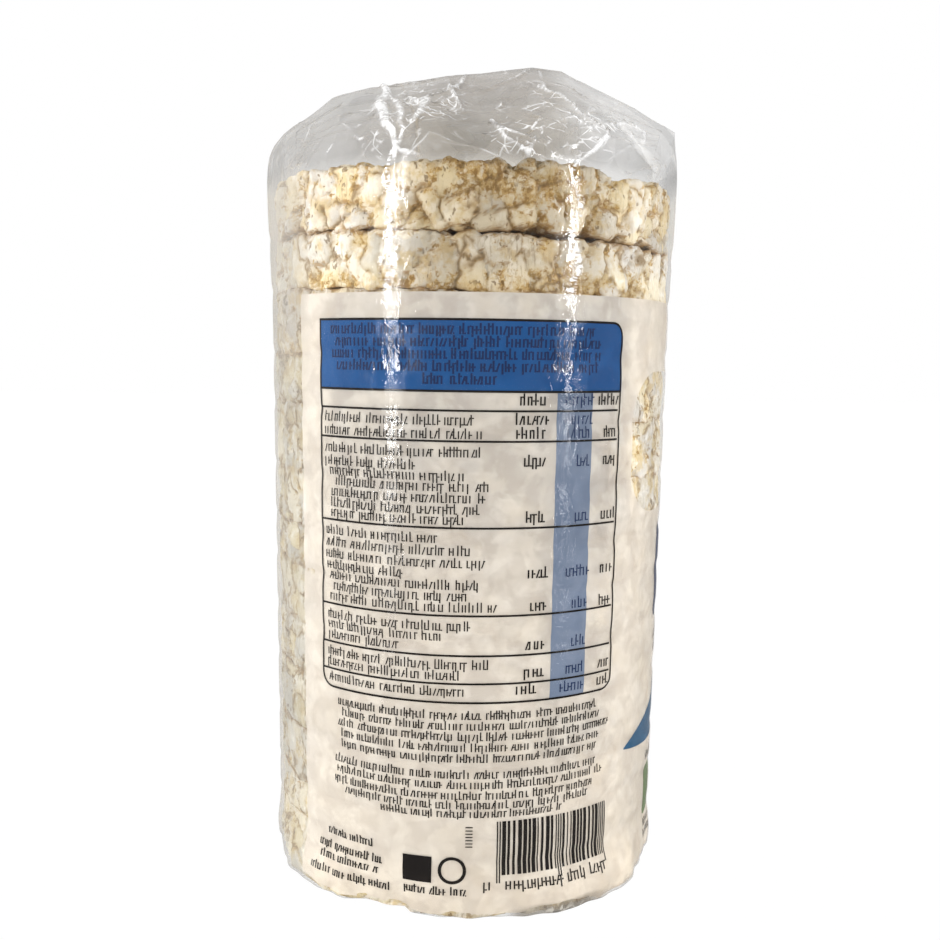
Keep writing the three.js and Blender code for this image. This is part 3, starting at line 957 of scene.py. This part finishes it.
def cakeMaterial(index, roast, pale):
    # The tint of painted light and shade is given for the left, the middle and the right of the pack.
    made, g, surface = newMaterial(f"puffed rice {index + 1}")
    place = objectPlace(g)
    side, _, height = g.axes(place)
    grain = g.attribute("grainPlace", "Vector")
    broken = g.attribute("broken")
    edge = g.cells(grain, 1.0, feature="DISTANCE_TO_EDGE")
    first, second, third = g.axes(g.cells(grain, 1.0, output="Color"))
    above = g.timesPlus(g.noise(place, 120.0), 5 * mm, height)
    palest = paleAbove.get(index, 200)
    streaks = g.noise(g.stretch(place, (1700.0, 1700.0, 260.0)), 1.0, detail=3.0, roughness=0.6)
    streaky = g.timesPlus(g.spread(g.noise(place, 70.0), 0.4, 0.62), 0.5, 0.08)
    parted = g.noise(place, 210.0, detail=3.0, roughness=0.6)
    branMask, branFlake = branPlaces(g, place, broken, edge, branPatches.get(index, []))
    branLimit = 0.63 - 0.12 * roast
    inBran = g.spread(branMask, branLimit, branLimit + 0.1)
    flakes = g.noise(place, 620.0, detail=5.0, roughness=0.7)
    specks = g.noise(g.stretch(place, (640.0, 640.0, 350.0)), 1.0, detail=2.0, roughness=0.6)
    specks = g.times(g.spread(specks, 0.6, 0.65), g.spread(g.noise(place, 110.0), 0.44, 0.56))
    facing = g.math("ABSOLUTE", g.axis(g.add("ShaderNodeNewGeometry", output="True Normal"), "Z"))
    hidden = g.times(g.rise(height, 160, 158, 0.0, 0.8), g.rise(height, 4, 7))
    layers = (
        ("golden", g.spread(first, 0.4, 0.75, 0.0, 0.85)),
        ("greyish", g.spread(second, 0.5, 0.7, 0.0, 0.9)),
        ("cream", g.spread(g.noise(place, 260.0, detail=4.0, roughness=0.6), 0.38, 0.65, 0.0, 0.45)),
        ("upper", g.rise(above, palest + 1, palest + 4, 0.0, 0.6)),
        ("tan", g.spread(g.noise(place, 150.0, detail=5.0, roughness=0.65), 0.47, 0.63, 0.0, 0.8)),
        ("highlightSpots", g.spread(g.noise(place, 330.0, detail=3.0), 0.52, 0.7, 0.0, 0.7)),
        ("fibre", g.times(g.spread(streaks, 0.5, 0.68), streaky)),
        # painted shade along the grains' edges and in the crevices between them
        ("grainRimShade", g.times(g.spread(edge, 0.0, 0.17, 1.0, 0.0), g.spread(parted, 0.4, 0.6, 0.0, 0.7))),
        ("bran", g.spread(branMask, branLimit, branLimit + 0.11, 0.0, 0.87)),
        ("branChip", g.times(g.spread(flakes, 0.5, 0.57), inBran, 0.8)),
        ("branCrumb", g.times(g.spread(flakes, 0.47, 0.4), inBran, 0.6)),
        ("speck", g.times(specks, 0.7)),
        ("creviceShade", g.times(g.spread(edge, 0.0, 0.075, 1.0, 0.0), g.spread(parted, 0.44, 0.6, 0.0, 0.65))),
        ("hiddenFace", g.times(g.spread(facing, 0.5, 0.9), hidden)),
    )
    tone = grainTones["ivory"]
    for title, mask in layers:
        tone = g.mixColour(mask, tone, grainTones[title])
    tone = g.mixColour(1.0, tone, g.grey(g.spread(third, 0.0, 1.0, 0.86, 1.06)), "MULTIPLY")
    # The pressed faces are toasted, and along the rims a brown band with dark dots shows, which is also
    # painted shade of the seams between the cakes.
    rimToastAndShade = g.times(g.attribute("rim"), g.spread(parted, 0.35, 0.6))
    dots = g.times(g.spread(g.noise(place, 560.0, detail=3.0), 0.5, 0.57), rimToastAndShade)
    tone = g.mixColour(g.times(rimToastAndShade, 0.55), tone, grainTones["toastedShadedRim"])
    tone = g.mixColour(g.times(dots, 0.75), tone, grainTones["toastedShadedDot"])
    # Painted light and shade: each cake is made lighter or darker at the left, the middle and the right.
    left, middle, right = (tuple(colour) + (1,) for colour in pale)
    share = g.mixColour(g.rise(side, -22, -7), left, middle)
    share = g.mixColour(g.rise(side, 22, 34), share, right)
    tone = g.mixColour(1.0, tone, share, "MULTIPLY")
    rough = g.plus(g.times(streaks, 0.4), g.noise(place, 1600.0, detail=3.0), g.times(branFlake, 0.8))
    matte = g.add("ShaderNodeBsdfPrincipled", {
        "Base Color": tone, "Roughness": g.spread(third, 0.0, 1.0, 0.55, 0.85), "Specular IOR Level": 0.25,
        "Normal": g.add("ShaderNodeBump", {"Strength": 0.4, "Distance": 0.25 * mm, "Height": rough})})
    g.tree.links.new(matte, surface)
    return made


grainTree = puffTree()
for index, (stretch, size, creaseDepth, roast, pale) in enumerate(cakeMood):
    piece = cakeBlank(index)
    runTree(piece, grainTree, {
        "Grain Size": cake["grainSize"] * size, "Grain Stretch": stretch,
        "Crease Depth": creaseDepth, "Crease Width": cake["creaseWidth"],
        "Unevenness": cake["unevenness"], "Bit Size": cake["bitSize"], "Bit Depth": cake["bitDepth"],
        "Seed": index + 1, "Pressed Flat": cake["pressedFlat"], "Radius": cake["radius"],
        "Face Depth": cake["topFaceDepth" if index + 1 == len(cakeMood) else "faceDepth"] * (index > 0),
        "Rim Depth": cake["rimDepth"] * (index > 0),
        "Material": cakeMaterial(index, roast, pale)})
    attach(piece, "root")
    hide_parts("film_pack")
print("rice cakes", len(cakeMood), "of up to", len(piece.data.polygons), "faces")


# The print on the film.
class PrintLayer:
    # One ink, laid out flat: x is the arc round the pack from its front and y the height, in millimetres.
    def __init__(self, cell=1.0):
        self.cell = cell
        self.points = []
        self.faces = []
        self.count = 0

    def keep(self, points, faces):
        self.points.append(np.asarray(points, float))
        self.faces += [tuple(corner + self.count for corner in face) for face in faces]
        self.count += len(points)

    def grid(self, left, right, low, high):
        across = max(1, math.ceil((right - left) / self.cell))
        up = max(1, math.ceil((high - low) / self.cell))
        x, y = np.meshgrid(np.linspace(left, right, across + 1), np.linspace(low, high, up + 1))
        points = np.stack([x.ravel(), y.ravel()], -1)
        first = (np.arange(up)[:, None] * (across + 1) + np.arange(across)).ravel()
        return points, np.stack([first, first + 1, first + across + 2, first + across + 1], -1)

    def patch(self, left, right, low, high):
        points, faces = self.grid(left, right, low, high)
        self.keep(points, faces.tolist())

    def shape(self, left, right, low, high, distance):
        # Keeps the cells where distance is below zero, and brings their border onto its outline.
        points, faces = self.grid(left, right, low, high)
        inside = distance(points[faces].mean(1)) < 0
        kept, cut = (np.zeros(len(points), bool) for _ in range(2))
        kept[faces[inside]] = True
        cut[faces[~inside]] = True
        border = kept & cut
        for _ in range(3):
            here = points[border]
            away = distance(here)
            step = 1e-3
            beside = [distance(here + [step, 0]) - away, distance(here + [0, step]) - away]
            slope = np.stack(beside, -1) / step
            points[border] = here - away[:, None] * slope / np.maximum((slope ** 2).sum(1), 0.2)[:, None]
        order = np.cumsum(kept) - 1
        self.keep(points[kept], order[faces[inside]].tolist())

    def stroke(self, route, width, closed=False):
        route = [np.array(point, float) for point in route]
        if closed:
            route.append(route[0])
        samples = [route[0]]
        for start, stop in zip(route, route[1:]):
            steps = max(1, math.ceil(np.linalg.norm(stop - start) / self.cell))
            samples += [start + (stop - start) * step / steps for step in range(1, steps + 1)]
        if closed:
            samples.pop()
        samples = np.array(samples)
        ahead = np.roll(samples, -1, 0) - samples
        behind = samples - np.roll(samples, 1, 0)
        if not closed:
            ahead[-1], behind[0] = behind[-1], ahead[0]
        ahead /= np.linalg.norm(ahead, axis=1)[:, None]
        behind /= np.linalg.norm(behind, axis=1)[:, None]
        along = ahead + behind
        along /= np.linalg.norm(along, axis=1)[:, None]
        mitre = width / 2 / np.clip((along * ahead).sum(1), 0.5, 1)[:, None]
        side = np.stack([-along[:, 1], along[:, 0]], -1) * mitre
        points = np.concatenate([samples - side, samples + side])
        count = len(samples)
        last = count if closed else count - 1
        faces = [(at, (at + 1) % count, (at + 1) % count + count, at + count) for at in range(last)]
        self.keep(points, faces)

    def build(self, name):
        flat = np.concatenate(self.points) * mm
        return buildMesh(name, np.stack([flat[:, 0], 0 * flat[:, 0], flat[:, 1]], -1), self.faces)


def roundBox(left, right, low, high, corner):
    middle = np.array([(left + right) / 2, (low + high) / 2])
    half = np.array([(right - left) / 2, (high - low) / 2]) - corner

    def distance(points):
        gap = np.abs(points - middle) - half
        return np.linalg.norm(np.maximum(gap, 0), axis=-1) + np.minimum(gap.max(-1), 0) - corner
    return distance


def leaf(start, stop, width):
    # Two circle arcs that meet at the tips.
    start, stop = np.array(start, float), np.array(stop, float)
    half = np.linalg.norm(stop - start) / 2
    bulge = width / 2
    radius = (half ** 2 + bulge ** 2) / (2 * bulge)
    along = (stop - start) / (2 * half)
    side = np.array([-along[1], along[0]]) * (radius - bulge)
    centres = [(start + stop) / 2 + side, (start + stop) / 2 - side]

    def distance(points):
        return np.maximum(*[np.linalg.norm(points - centre, axis=-1) - radius for centre in centres])
    return distance


def roundRoute(corners, radius):
    route = []
    for before, corner, after in zip(corners[-1:] + corners, corners, corners[1:] + corners[:1]):
        corner = np.array(corner, float)
        toBefore, toAfter = (np.array(other, float) - corner for other in (before, after))
        toBefore, toAfter = (side / np.linalg.norm(side) for side in (toBefore, toAfter))
        for step in range(7):
            turn = step / 6 * math.pi / 2
            route.append(corner + radius * (toBefore * (1 - math.sin(turn)) + toAfter * (1 - math.cos(turn))))
    return route


textDraw = random.Random(5)


def textRow(layer, left, right, base, height, weight=0.15):
    # Greeked text: upright, level and slanting ticks in word-like groups, which no one can read.
    thick = height * weight
    pitch = height * 0.36
    at = left
    while at < right - pitch:
        wordEnd = min(right, at + pitch * textDraw.randint(5, 16))
        while at < wordEnd:
            kind = textDraw.random()
            top = height * (1.0 if kind < 0.2 else 0.74)
            bottom = -height * 0.22 if kind > 0.93 else 0.0
            if 0.8 < kind < 0.9:
                layer.stroke([(at, base), (at + pitch * 0.7, base + top)], thick * 0.9)
            else:
                layer.patch(at, at + thick, base + bottom, base + top)
            if textDraw.random() < 0.65:
                level = base + height * textDraw.choice((0.0, 0.31, 0.62))
                layer.patch(at + thick * 1.1, at + pitch * 0.95, level, level + thick * 0.85)
            at += pitch * textDraw.choice((0.8, 1.0, 1.0, 1.25))
        at += pitch * 1.1


facts = {
    "left": -35.5, "right": 36.0, "top": 131.5, "head": 117.0, "bottom": 50.3, "line": 0.48,
    "column": (18.9, 27.9),
    "rules": [113.0, 106.7, 88.5, 69.6, 60.8, 54.6],
    # base height and left and right ends of each row
    "rows": [
        (110.0, -34.3, 0.7), (107.2, -34.3, 3.0), (103.4, -34.2, 2.3), (100.6, -34.3, -10.3),
        (98.4, -33.0, -0.6), (96.2, -31.2, 4.0), (93.8, -32.4, 3.3), (91.4, -32.5, 2.0),
        (89.2, -32.5, -1.1), (85.2, -34.3, -7.1), (82.6, -34.2, 0.5), (80.0, -34.2, 3.0),
        (77.5, -33.9, -13.9), (75.2, -33.3, 2.3), (72.8, -32.0, -0.2),
        (70.4, -33.0, 6.0), (66.3, -33.7, 0.5), (64.0, -33.8, -5.7), (61.6, -33.8, -15.0), (57.8, -33.8, 4.7),
        (55.4, -33.9, -1.3), (51.8, -33.6, -0.8),
    ],
    "amounts": [
        (114.2, 10.5, 16.6), (114.2, 20.8, 27.4), (114.2, 29.4, 34.9), (110.2, 9.7, 16.3), (107.3, 9.8, 16.3),
        (110.2, 20.9, 27.4), (107.3, 21.5, 27.4), (107.3, 31.2, 35.0), (101.5, 11.6, 16.5),
        (101.3, 24.0, 27.2), (101.4, 31.2, 35.0), (89.6, 12.3, 16.8), (89.5, 23.9, 27.2),
        (89.4, 31.1, 35.0), (77.6, 13.0, 17.2), (77.4, 22.0, 27.4), (77.4, 31.4, 35.0),
        (70.4, 13.7, 16.9), (70.3, 23.8, 27.4), (70.1, 31.4, 35.0),
        (61.8, 13.0, 17.4), (61.7, 24.1, 27.5), (55.7, 12.6, 17.1), (55.6, 22.7, 27.5), (55.6, 31.8, 35.0),
        (52.0, 10.9, 16.4), (51.6, 21.3, 27.2), (51.6, 31.6, 35.0),
    ],
    "headRows": [
        (128.5, -32.3, 29.4), (126.0, -30.9, 28.9), (123.5, -32.1, 29.7), (121.0, -30.6, 28.7),
        (118.4, -9.9, 7.2),
    ],
    "notes": [
        (46.6, -30.8, 32.5), (44.2, -29.6, 32.3), (41.8, -30.8, 35.2), (39.3, -29.9, 32.6),
        (36.8, -29.9, 31.5), (33.1, -31.8, 31.6), (30.8, -31.2, 34.0), (28.3, -31.9, 31.5),
        (26.1, -28.8, 29.4), (24.0, -19.3, 22.5),
    ],
    "address": [(14.8, -34.4, -21.6), (11.3, -37.3, -19.6), (8.7, -36.6, -20.3), (5.3, -39.4, -16.8)],
}
# Height of each kind of small row, and its ticks' weight as a share of that.
letters = {
    "head": (2.3, 0.19), "row": (2.2, 0.13), "amount": (2.5, 0.15), "onColumn": (2.5, 0.12),
    "note": (2.0, 0.15), "address": (2.0, 0.18), "figure": (2.6, 0.14), "banner": (2.3, 0.15),
    "farSide": (1.8, 0.16), "badge": (2.2, 0.2),
}
badges = {
    "square": (-13.7, -7.4, 8.7, 14.4),  # left, right, low, high
    "ring": (-2.6, 11.6, 2.8),           # middle and radius
    "caption": (5.8, -13.7, 0.2),        # base, left, right
    "line": 0.75,
    "ladder": {"left": 0.3, "right": 1.9, "low": 17.2, "pitch": 0.75, "line": 0.25, "count": 7},
}
figures = [(7.0, 9.4, 34.6), (7.0, 4.4, 6.4)]  # rows under the bars
bannerRows = [(56.0, 62.0, 100.0), (52.6, 62.0, 100.0)]
badgeRows = [(26.0, 57.6, 66.0), (8.4, 57.6, 66.0), (5.6, 57.6, 66.0)]
# The block of small rows on the far side.
farRows = {
    "count": 26, "left": 150.0, "right": (186.0, 197.0), "top": 120.0, "pitch": 2.45, "gap": 1.4,
    "perBlock": 9}
bars = {"left": 7.3, "right": 36.4, "low": 10.4, "high": 23.0, "guardLow": 8.6, "module": 0.305, "seed": 3}
field = {
    "left": -43.0, "right": 206.0, "high": 137.0,
    # lower edge, as (x, height)
    "low": [
        (-43, 2.4), (-34, 1.4), (-22, 1.6), (-12, 1.0), (4, 0.8), (12, 1.4), (18, 2.6), (25, 2.9),
        (30, 1.7), (34, 0.3), (50, 0.25), (206, 1.4),
    ],
}
window = roundBox(41.5, 118.0, 89.1, 121.2, 11.0)
# The plain fields of the other side's design: ink, the box that holds the field, and its shape.
plainFields = [
    ("Teal", (41.0, 122.0, 28.0, 54.0), leaf((42.6, 33.4), (121.0, 44.0), 13.0)),
    ("Teal", (56.0, 138.0, 12.0, 36.0), leaf((69.5, 21.0), (140.0, 27.0), 8.0)),
    ("DarkBlue", (60.2, 106.4, 61.6, 84.2), roundBox(60.5, 106.0, 62.0, 83.8, 2.5)),
    ("Green", (57.0, 66.4, 11.4, 23.8), roundBox(57.4, 66.0, 11.7, 23.4, 0.8)),
]

inks = {
    # slot, depth under the film's outside, colour, cover, and how far each channel of the colour wanders
    "Cream": ("print_cream", 0.22, (0.80, 0.732, 0.645, 1), 0.72, (0.12, 0.135, 0.145)),
    "LightBlue": ("print_blue", 0.18, (0.20, 0.25, 0.345, 1), 0.92, (0.08, 0.06, 0.04)),
    "Blue": ("print_blue", 0.14, (0.008, 0.088, 0.275, 1), 1.0, (0.05, 0.05, 0.04)),
    "Teal": ("print_blue", 0.14, (0.012, 0.095, 0.20, 1), 1.0, (0.05, 0.05, 0.05)),
    "DarkBlue": ("print_blue", 0.1, (0.012, 0.03, 0.10, 1), 1.0, (0.05, 0.05, 0.05)),
    "Green": ("print_blue", 0.14, (0.13, 0.20, 0.065, 1), 0.96, (0.05, 0.05, 0.05)),
    "Dark": ("print_dark", 0.08, (0.010, 0.007, 0.006, 1), 1.0, (0.1, 0.1, 0.1)),
}


def layOutBars(ink):
    draw = random.Random(bars["seed"])
    module = bars["module"]
    at = bars["left"]
    count = 0
    while at < bars["right"] - module:
        wide = module * draw.choice((1, 1, 2, 2, 3))
        guard = count in (0, 1, 14, 15) or at > bars["right"] - 3 * module
        wide = module if guard else wide
        low = bars["guardLow" if guard else "low"]
        ink.patch(at, min(at + wide * 0.98, bars["right"]), low, bars["high"])
        at += wide + module * (1 if guard else draw.choice((1, 1, 2)))
        count += 1


def layOutPrint():
    layers = {name: PrintLayer() for name in inks}

    def outsideField(points):
        low = np.interp(points[:, 0], *zip(*field["low"])) + 0.15 * np.sin(points[:, 0] * 0.9)
        return np.maximum(-window(points), low - points[:, 1])

    def textRows(layer, kind, rows):
        for base, start, stop in rows:
            textRow(layer, start, stop, base, *letters[kind])

    left, right, low, high = facts["left"], facts["right"], facts["bottom"], facts["top"]
    head, line = facts["head"], facts["line"]
    layers["Cream"].shape(field["left"], field["right"], 0.2, field["high"], outsideField)
    corner = roundBox(left - 20, right + 0.2, head - 20, high, 3.0)
    layers["Blue"].shape(left, right + 0.4, head, high + 0.2, corner)
    layers["LightBlue"].patch(*facts["column"], low, head)
    for name, box, shape in plainFields:
        layers[name].shape(*box, shape)

    ink = layers["Dark"]
    outline = roundRoute([(left, low), (right, low), (right, high), (left, high)], 2.8)[:21] + [(left, high)]
    ink.stroke(outline, line, closed=True)
    ink.stroke([(left, head), (right, head)], line)
    for rule in facts["rules"]:
        ink.stroke([(left, rule), (right - 0.6, rule)], line * 0.9)
    textRows(layers["DarkBlue"], "head", facts["headRows"])
    textRows(ink, "row", facts["rows"])
    for row in facts["amounts"]:
        onColumn = facts["column"][0] < row[1] < facts["column"][1]
        textRows(layers["DarkBlue"] if onColumn else ink, "onColumn" if onColumn else "amount", [row])
    textRows(ink, "note", facts["notes"])
    textRows(ink, "address", facts["address"] + [badges["caption"]])
    a, b, c, d = badges["square"]
    ink.shape(a - 0.2, b + 0.2, c - 0.2, d + 0.2, roundBox(a, b, c, d, 0.3))
    x, y, radius = badges["ring"]
    turns = np.linspace(0, 2 * math.pi, 33)[:-1]
    ring = [(x + radius * math.cos(turn), y + radius * math.sin(turn)) for turn in turns]
    ink.stroke(ring, badges["line"], closed=True)
    ladder = badges["ladder"]
    for step in range(ladder["count"]):
        rung = ladder["low"] + ladder["pitch"] * step
        ink.patch(ladder["left"], ladder["right"], rung, rung + ladder["line"])
    layOutBars(ink)
    textRows(ink, "figure", figures)
    textRows(ink, "banner", bannerRows)
    for row in range(farRows["count"]):
        base = farRows["top"] - farRows["pitch"] * row - farRows["gap"] * (row // farRows["perBlock"])
        textRows(ink, "farSide", [(base, farRows["left"], textDraw.uniform(*farRows["right"]))])
    textRows(ink, "badge", badgeRows)
    return layers


def wrapTree():
    # Wraps a flat layout round the pack: out from the axis to the film, and back in by the inset.
    tree, g, given, end = geometryTree("wrapPrint", {"Film": "Object", "Radius": "Float", "Inset": "Float"})
    flat = g.add("GeometryNodeInputPosition")
    x, height = g.axes(flat, "XZ")
    angle = g.over(x, given["Radius"])
    outwards = g.add("ShaderNodeCombineXYZ", {
        "X": g.math("SINE", angle), "Y": g.times(g.math("COSINE", angle), -1.0)})
    axis = g.add("ShaderNodeCombineXYZ", {"Z": height})
    skin = g.add("GeometryNodeObjectInfo", {"Object": given["Film"]}, "Geometry")
    hit = g.add("GeometryNodeRaycast", {
        "Target Geometry": skin, "Source Position": axis, "Ray Direction": outwards,
        "Ray Length": 0.1}, "Hit Position")
    placed = g.vector("SUBTRACT", hit, g.scaled(outwards, given["Inset"]))
    end(g.add("GeometryNodeSetPosition", {"Geometry": given["Geometry"], "Position": placed}))
    return tree


paintedShadeTint = (0.66, 0.68, 0.72, 1)  # painted shade: multiplies an ink at the upper front and along one upright band
paleFoot = (1.09, 1.075, 1.05, 1)  # and where it lies over the cakes' foot
shadowShare = 0.15  # how much of an ink's cover keeps light from the cakes


def inkShadePlaces(g, pressed, side, front, height):
    # Painted shade: the ink is greyer at the upper front, and along one upright band.
    inkShade = g.times(
        g.rise(side, -35, -26), g.rise(side, 38, 32), g.rise(height, 62, 112, 0.12, 0.72),
        g.rise(height, 28, 40))
    band = g.rise(g.math("ABSOLUTE", g.minus(side, 24 * mm)), 12, 5)
    band = g.times(band, g.rise(height, 28, 40, 0.0, 0.4))
    inkShade = g.times(g.plus(inkShade, band), g.rise(front, 0.0, -8), clamp=True)
    return g.times(inkShade, g.spread(pressed, 0.35, 0.65, 1.0, 0.7))


def inkMaterial(name, colour, cover, mottling):
    # Ink on the inside of the film. Thin spots let more through, and most of the light passes to the cakes.
    made, g, surface = newMaterial(name)
    place = objectPlace(g)
    side, front, height = g.axes(place)
    fine = g.noise(place, 330.0, detail=3.0, roughness=0.6)
    pressed = g.noise(place, 150.0, detail=3.0, roughness=0.55, distortion=0.4)
    blobs = g.cells(g.bent(place, 160.0, 0.005), 190.0)
    lit = g.plus(g.spread(pressed, 0.42, 0.58, 0.0, 0.6), g.spread(blobs, 0.3, 0.62, 0.4, 0.0))
    light, dark = (
        tuple(channel * (1 + sign * amount) for channel, amount in zip(colour, mottling)) + (1,)
        for sign in (1, -1))
    tone = g.mixColour(lit, dark, light)
    tone = g.mixColour(g.spread(fine, 0.3, 0.7, 0.0, 0.3), tone, dark)
    # The first tint is painted shade.
    tints = (
        (inkShadePlaces(g, pressed, side, front, height), paintedShadeTint), (g.rise(height, 16, 5), paleFoot))
    for mask, tint in tints:
        tone = g.mixColour(mask, tone, g.mixColour(1.0, tone, tint, "MULTIPLY"))
    matte = g.add("ShaderNodeBsdfPrincipled", {
        "Base Color": tone, "Roughness": g.spread(fine, 0.3, 0.7, 0.45, 0.6), "Specular IOR Level": 0.12,
        "Normal": rippleNormal(g, 0.1)})
    clear = g.add("ShaderNodeBsdfTransparent")
    thin = g.spread(g.noise(place, 75.0, detail=3.0), 0.3, 0.7, min(1.0, cover + 0.04), cover - 0.04)
    inked = g.add("ShaderNodeMixShader", {0: thin, 1: clear, 2: matte})
    passed = 1 - shadowShare * cover
    shaded = g.add("ShaderNodeBsdfTransparent", {"Color": (passed, passed, passed, 1)})
    shadow = g.add("ShaderNodeLightPath", output="Is Shadow Ray")
    g.tree.links.new(g.add("ShaderNodeMixShader", {0: shadow, 1: inked, 2: shaded}), surface)
    return made


layouts = layOutPrint()
wrapping = wrapTree()
for name, (slot, inset, colour, cover, mottling) in inks.items():
    piece = layouts[name].build("print" + name)
    runTree(piece, wrapping, {
        "Film": clearFilm, "Radius": pack["radius"] * mm, "Inset": inset * mm,
        "Material": inkMaterial("ink " + name, colour, cover, mottling)})
    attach(piece, "root")
    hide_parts("film_pack")
print("print", sum(len(layout.faces) for layout in layouts.values()), "faces")


# Floor, light and camera.
def buildFloor():
    half = 3.0
    corners = [(-half, -half, 0), (half, -half, 0), (half, half, 0), (-half, half, 0)]
    floor = buildMesh("floor", corners, [(0, 1, 2, 3)], False)
    floor.location.z = -0.0003
    made, g, surface = newMaterial("pale floor")
    place = objectPlace(g)
    tone = g.mixColour(g.noise(place, 3.0), (0.72, 0.72, 0.72, 1), (0.70, 0.70, 0.70, 1))
    straight = g.add("ShaderNodeLightPath", output="Is Camera Ray")
    tone = g.mixColour(straight, tone, (0, 0, 0, 1))
    glow = g.spread(straight, 0.0, 1.0, 0.26, 1.0, smooth=False)
    plain = g.add("ShaderNodeBsdfPrincipled", {
        "Base Color": tone, "Roughness": 0.8, "Specular IOR Level": 0.1,
        "Emission Color": (1, 1, 1, 1), "Emission Strength": glow})
    g.tree.links.new(plain, surface)
    floor.data.materials.append(made)
    floor.visible_glossy = False


def addLamp(name, azimuth, elevation, distance, size, power, target=(0, 0, 0.09), glossyOnly=False):
    lamp = bpy.data.lights.new(name, "AREA")
    lamp.shape = "RECTANGLE"
    lamp.size, lamp.size_y = size
    lamp.energy = power
    holder = bpy.data.objects.new(name, lamp)
    turn, tilt = math.radians(azimuth), math.radians(elevation)
    target = Vector(target)
    back = Vector((math.sin(turn) * math.cos(tilt), -math.cos(turn) * math.cos(tilt), math.sin(tilt)))
    holder.location = target + back * distance
    holder.rotation_euler = (-back).to_track_quat("-Z", "Y").to_euler()
    holder.visible_camera = False
    holder.visible_diffuse = not glossyOnly
    scene.collection.objects.link(holder)
    return holder


studio = [
    # name, azimuth, elevation, distance, (width, height), power
    ("softLeft", -78, 22, 0.9, (0.7, 0.9), 6.9),
    ("softRight", 80, 8, 0.9, (0.6, 0.9), 5.3),
    ("softTop", 180, 72, 1.0, (1.0, 1.0), 2.0),
    ("softFront", 4, 12, 1.2, (0.5, 0.9), 1.3),
]
streaks = [
    # azimuth, distance, width, then (bottom, top, brightness) for each length of the strip
    (-40.3, 0.30, 0.018, [(0.14, 0.36, 25), (0.10, 0.14, 13), (0.06, 0.10, 7.5), (0.0, 0.06, 1.5)]),
    (51.5, 0.30, 0.014, [(0.14, 0.36, 24), (0.10, 0.14, 7), (0.06, 0.10, 4.5), (0.0, 0.06, 1.2)]),
]
# World brightness for what the camera sees directly, for mirrored rays from each side, and for the rest.
worldLevels = {
    "straight": 1.0, "mirroredFront": 0.09, "mirroredLeft": 0.5, "mirroredRight": 0.15, "other": 1.12}


def lightStudio():
    for lamp in studio:
        made = addLamp(*lamp)
        made.visible_glossy = False
    for azimuth, distance, width, lengths in streaks:
        for low, high, brightness in lengths:
            size = (width, high - low)
            power = brightness * math.pi * size[0] * size[1]
            target = (0, 0, (low + high) / 2)
            addLamp("streak", azimuth, 0, distance, size, power, target=target, glossyOnly=True)
    world = bpy.data.worlds.new("studio")
    scene.world = world
    world.use_nodes = True
    g = Graph(world.node_tree)
    world.node_tree.nodes.clear()
    straight = g.add("ShaderNodeLightPath", output="Is Camera Ray")
    mirrored = g.add("ShaderNodeLightPath", output="Is Glossy Ray")
    heading = g.add("ShaderNodeTexCoord", output="Generated")
    toRight, toBack = g.axes(heading, "XY")
    sides = g.spread(toRight, -0.5, 0.5, worldLevels["mirroredLeft"], worldLevels["mirroredRight"])
    mirror = g.spread(toBack, -0.8, 0.6)
    mirror = g.times(mirror, g.minus(sides, worldLevels["mirroredFront"]))
    mirror = g.plus(mirror, worldLevels["mirroredFront"] - worldLevels["other"])
    other = worldLevels["other"]
    level = g.timesPlus(straight, worldLevels["straight"] - other, other)
    level = g.timesPlus(mirrored, mirror, level)
    backdrop = g.add("ShaderNodeBackground", {"Color": (1, 1, 1, 1), "Strength": level})
    g.tree.links.new(backdrop, world.node_tree.nodes.new("ShaderNodeOutputWorld").inputs["Surface"])


cameraView = {
    "place": (0, -0.2642, 0.1239), "pitchDown": 9.37, "roll": 0.76, "lens": 40.08, "shift": (0.0021, 0.0638)}


def placeCamera():
    camera = bpy.data.cameras.new("camera")
    camera.sensor_width = 36
    camera.lens = cameraView["lens"]
    camera.shift_x, camera.shift_y = cameraView["shift"]
    camera.clip_start = 0.01
    holder = bpy.data.objects.new("camera", camera)
    scene.collection.objects.link(holder)
    pitch = Matrix.Rotation(math.radians(90 - cameraView["pitchDown"]), 4, "X")
    roll = Matrix.Rotation(math.radians(cameraView["roll"]), 4, "Z")
    holder.matrix_world = Matrix.Translation(cameraView["place"]) @ pitch @ roll
    scene.camera = holder


buildFloor()
lightStudio()
placeCamera()
print("studio", len(bpy.data.lights), "lamps")
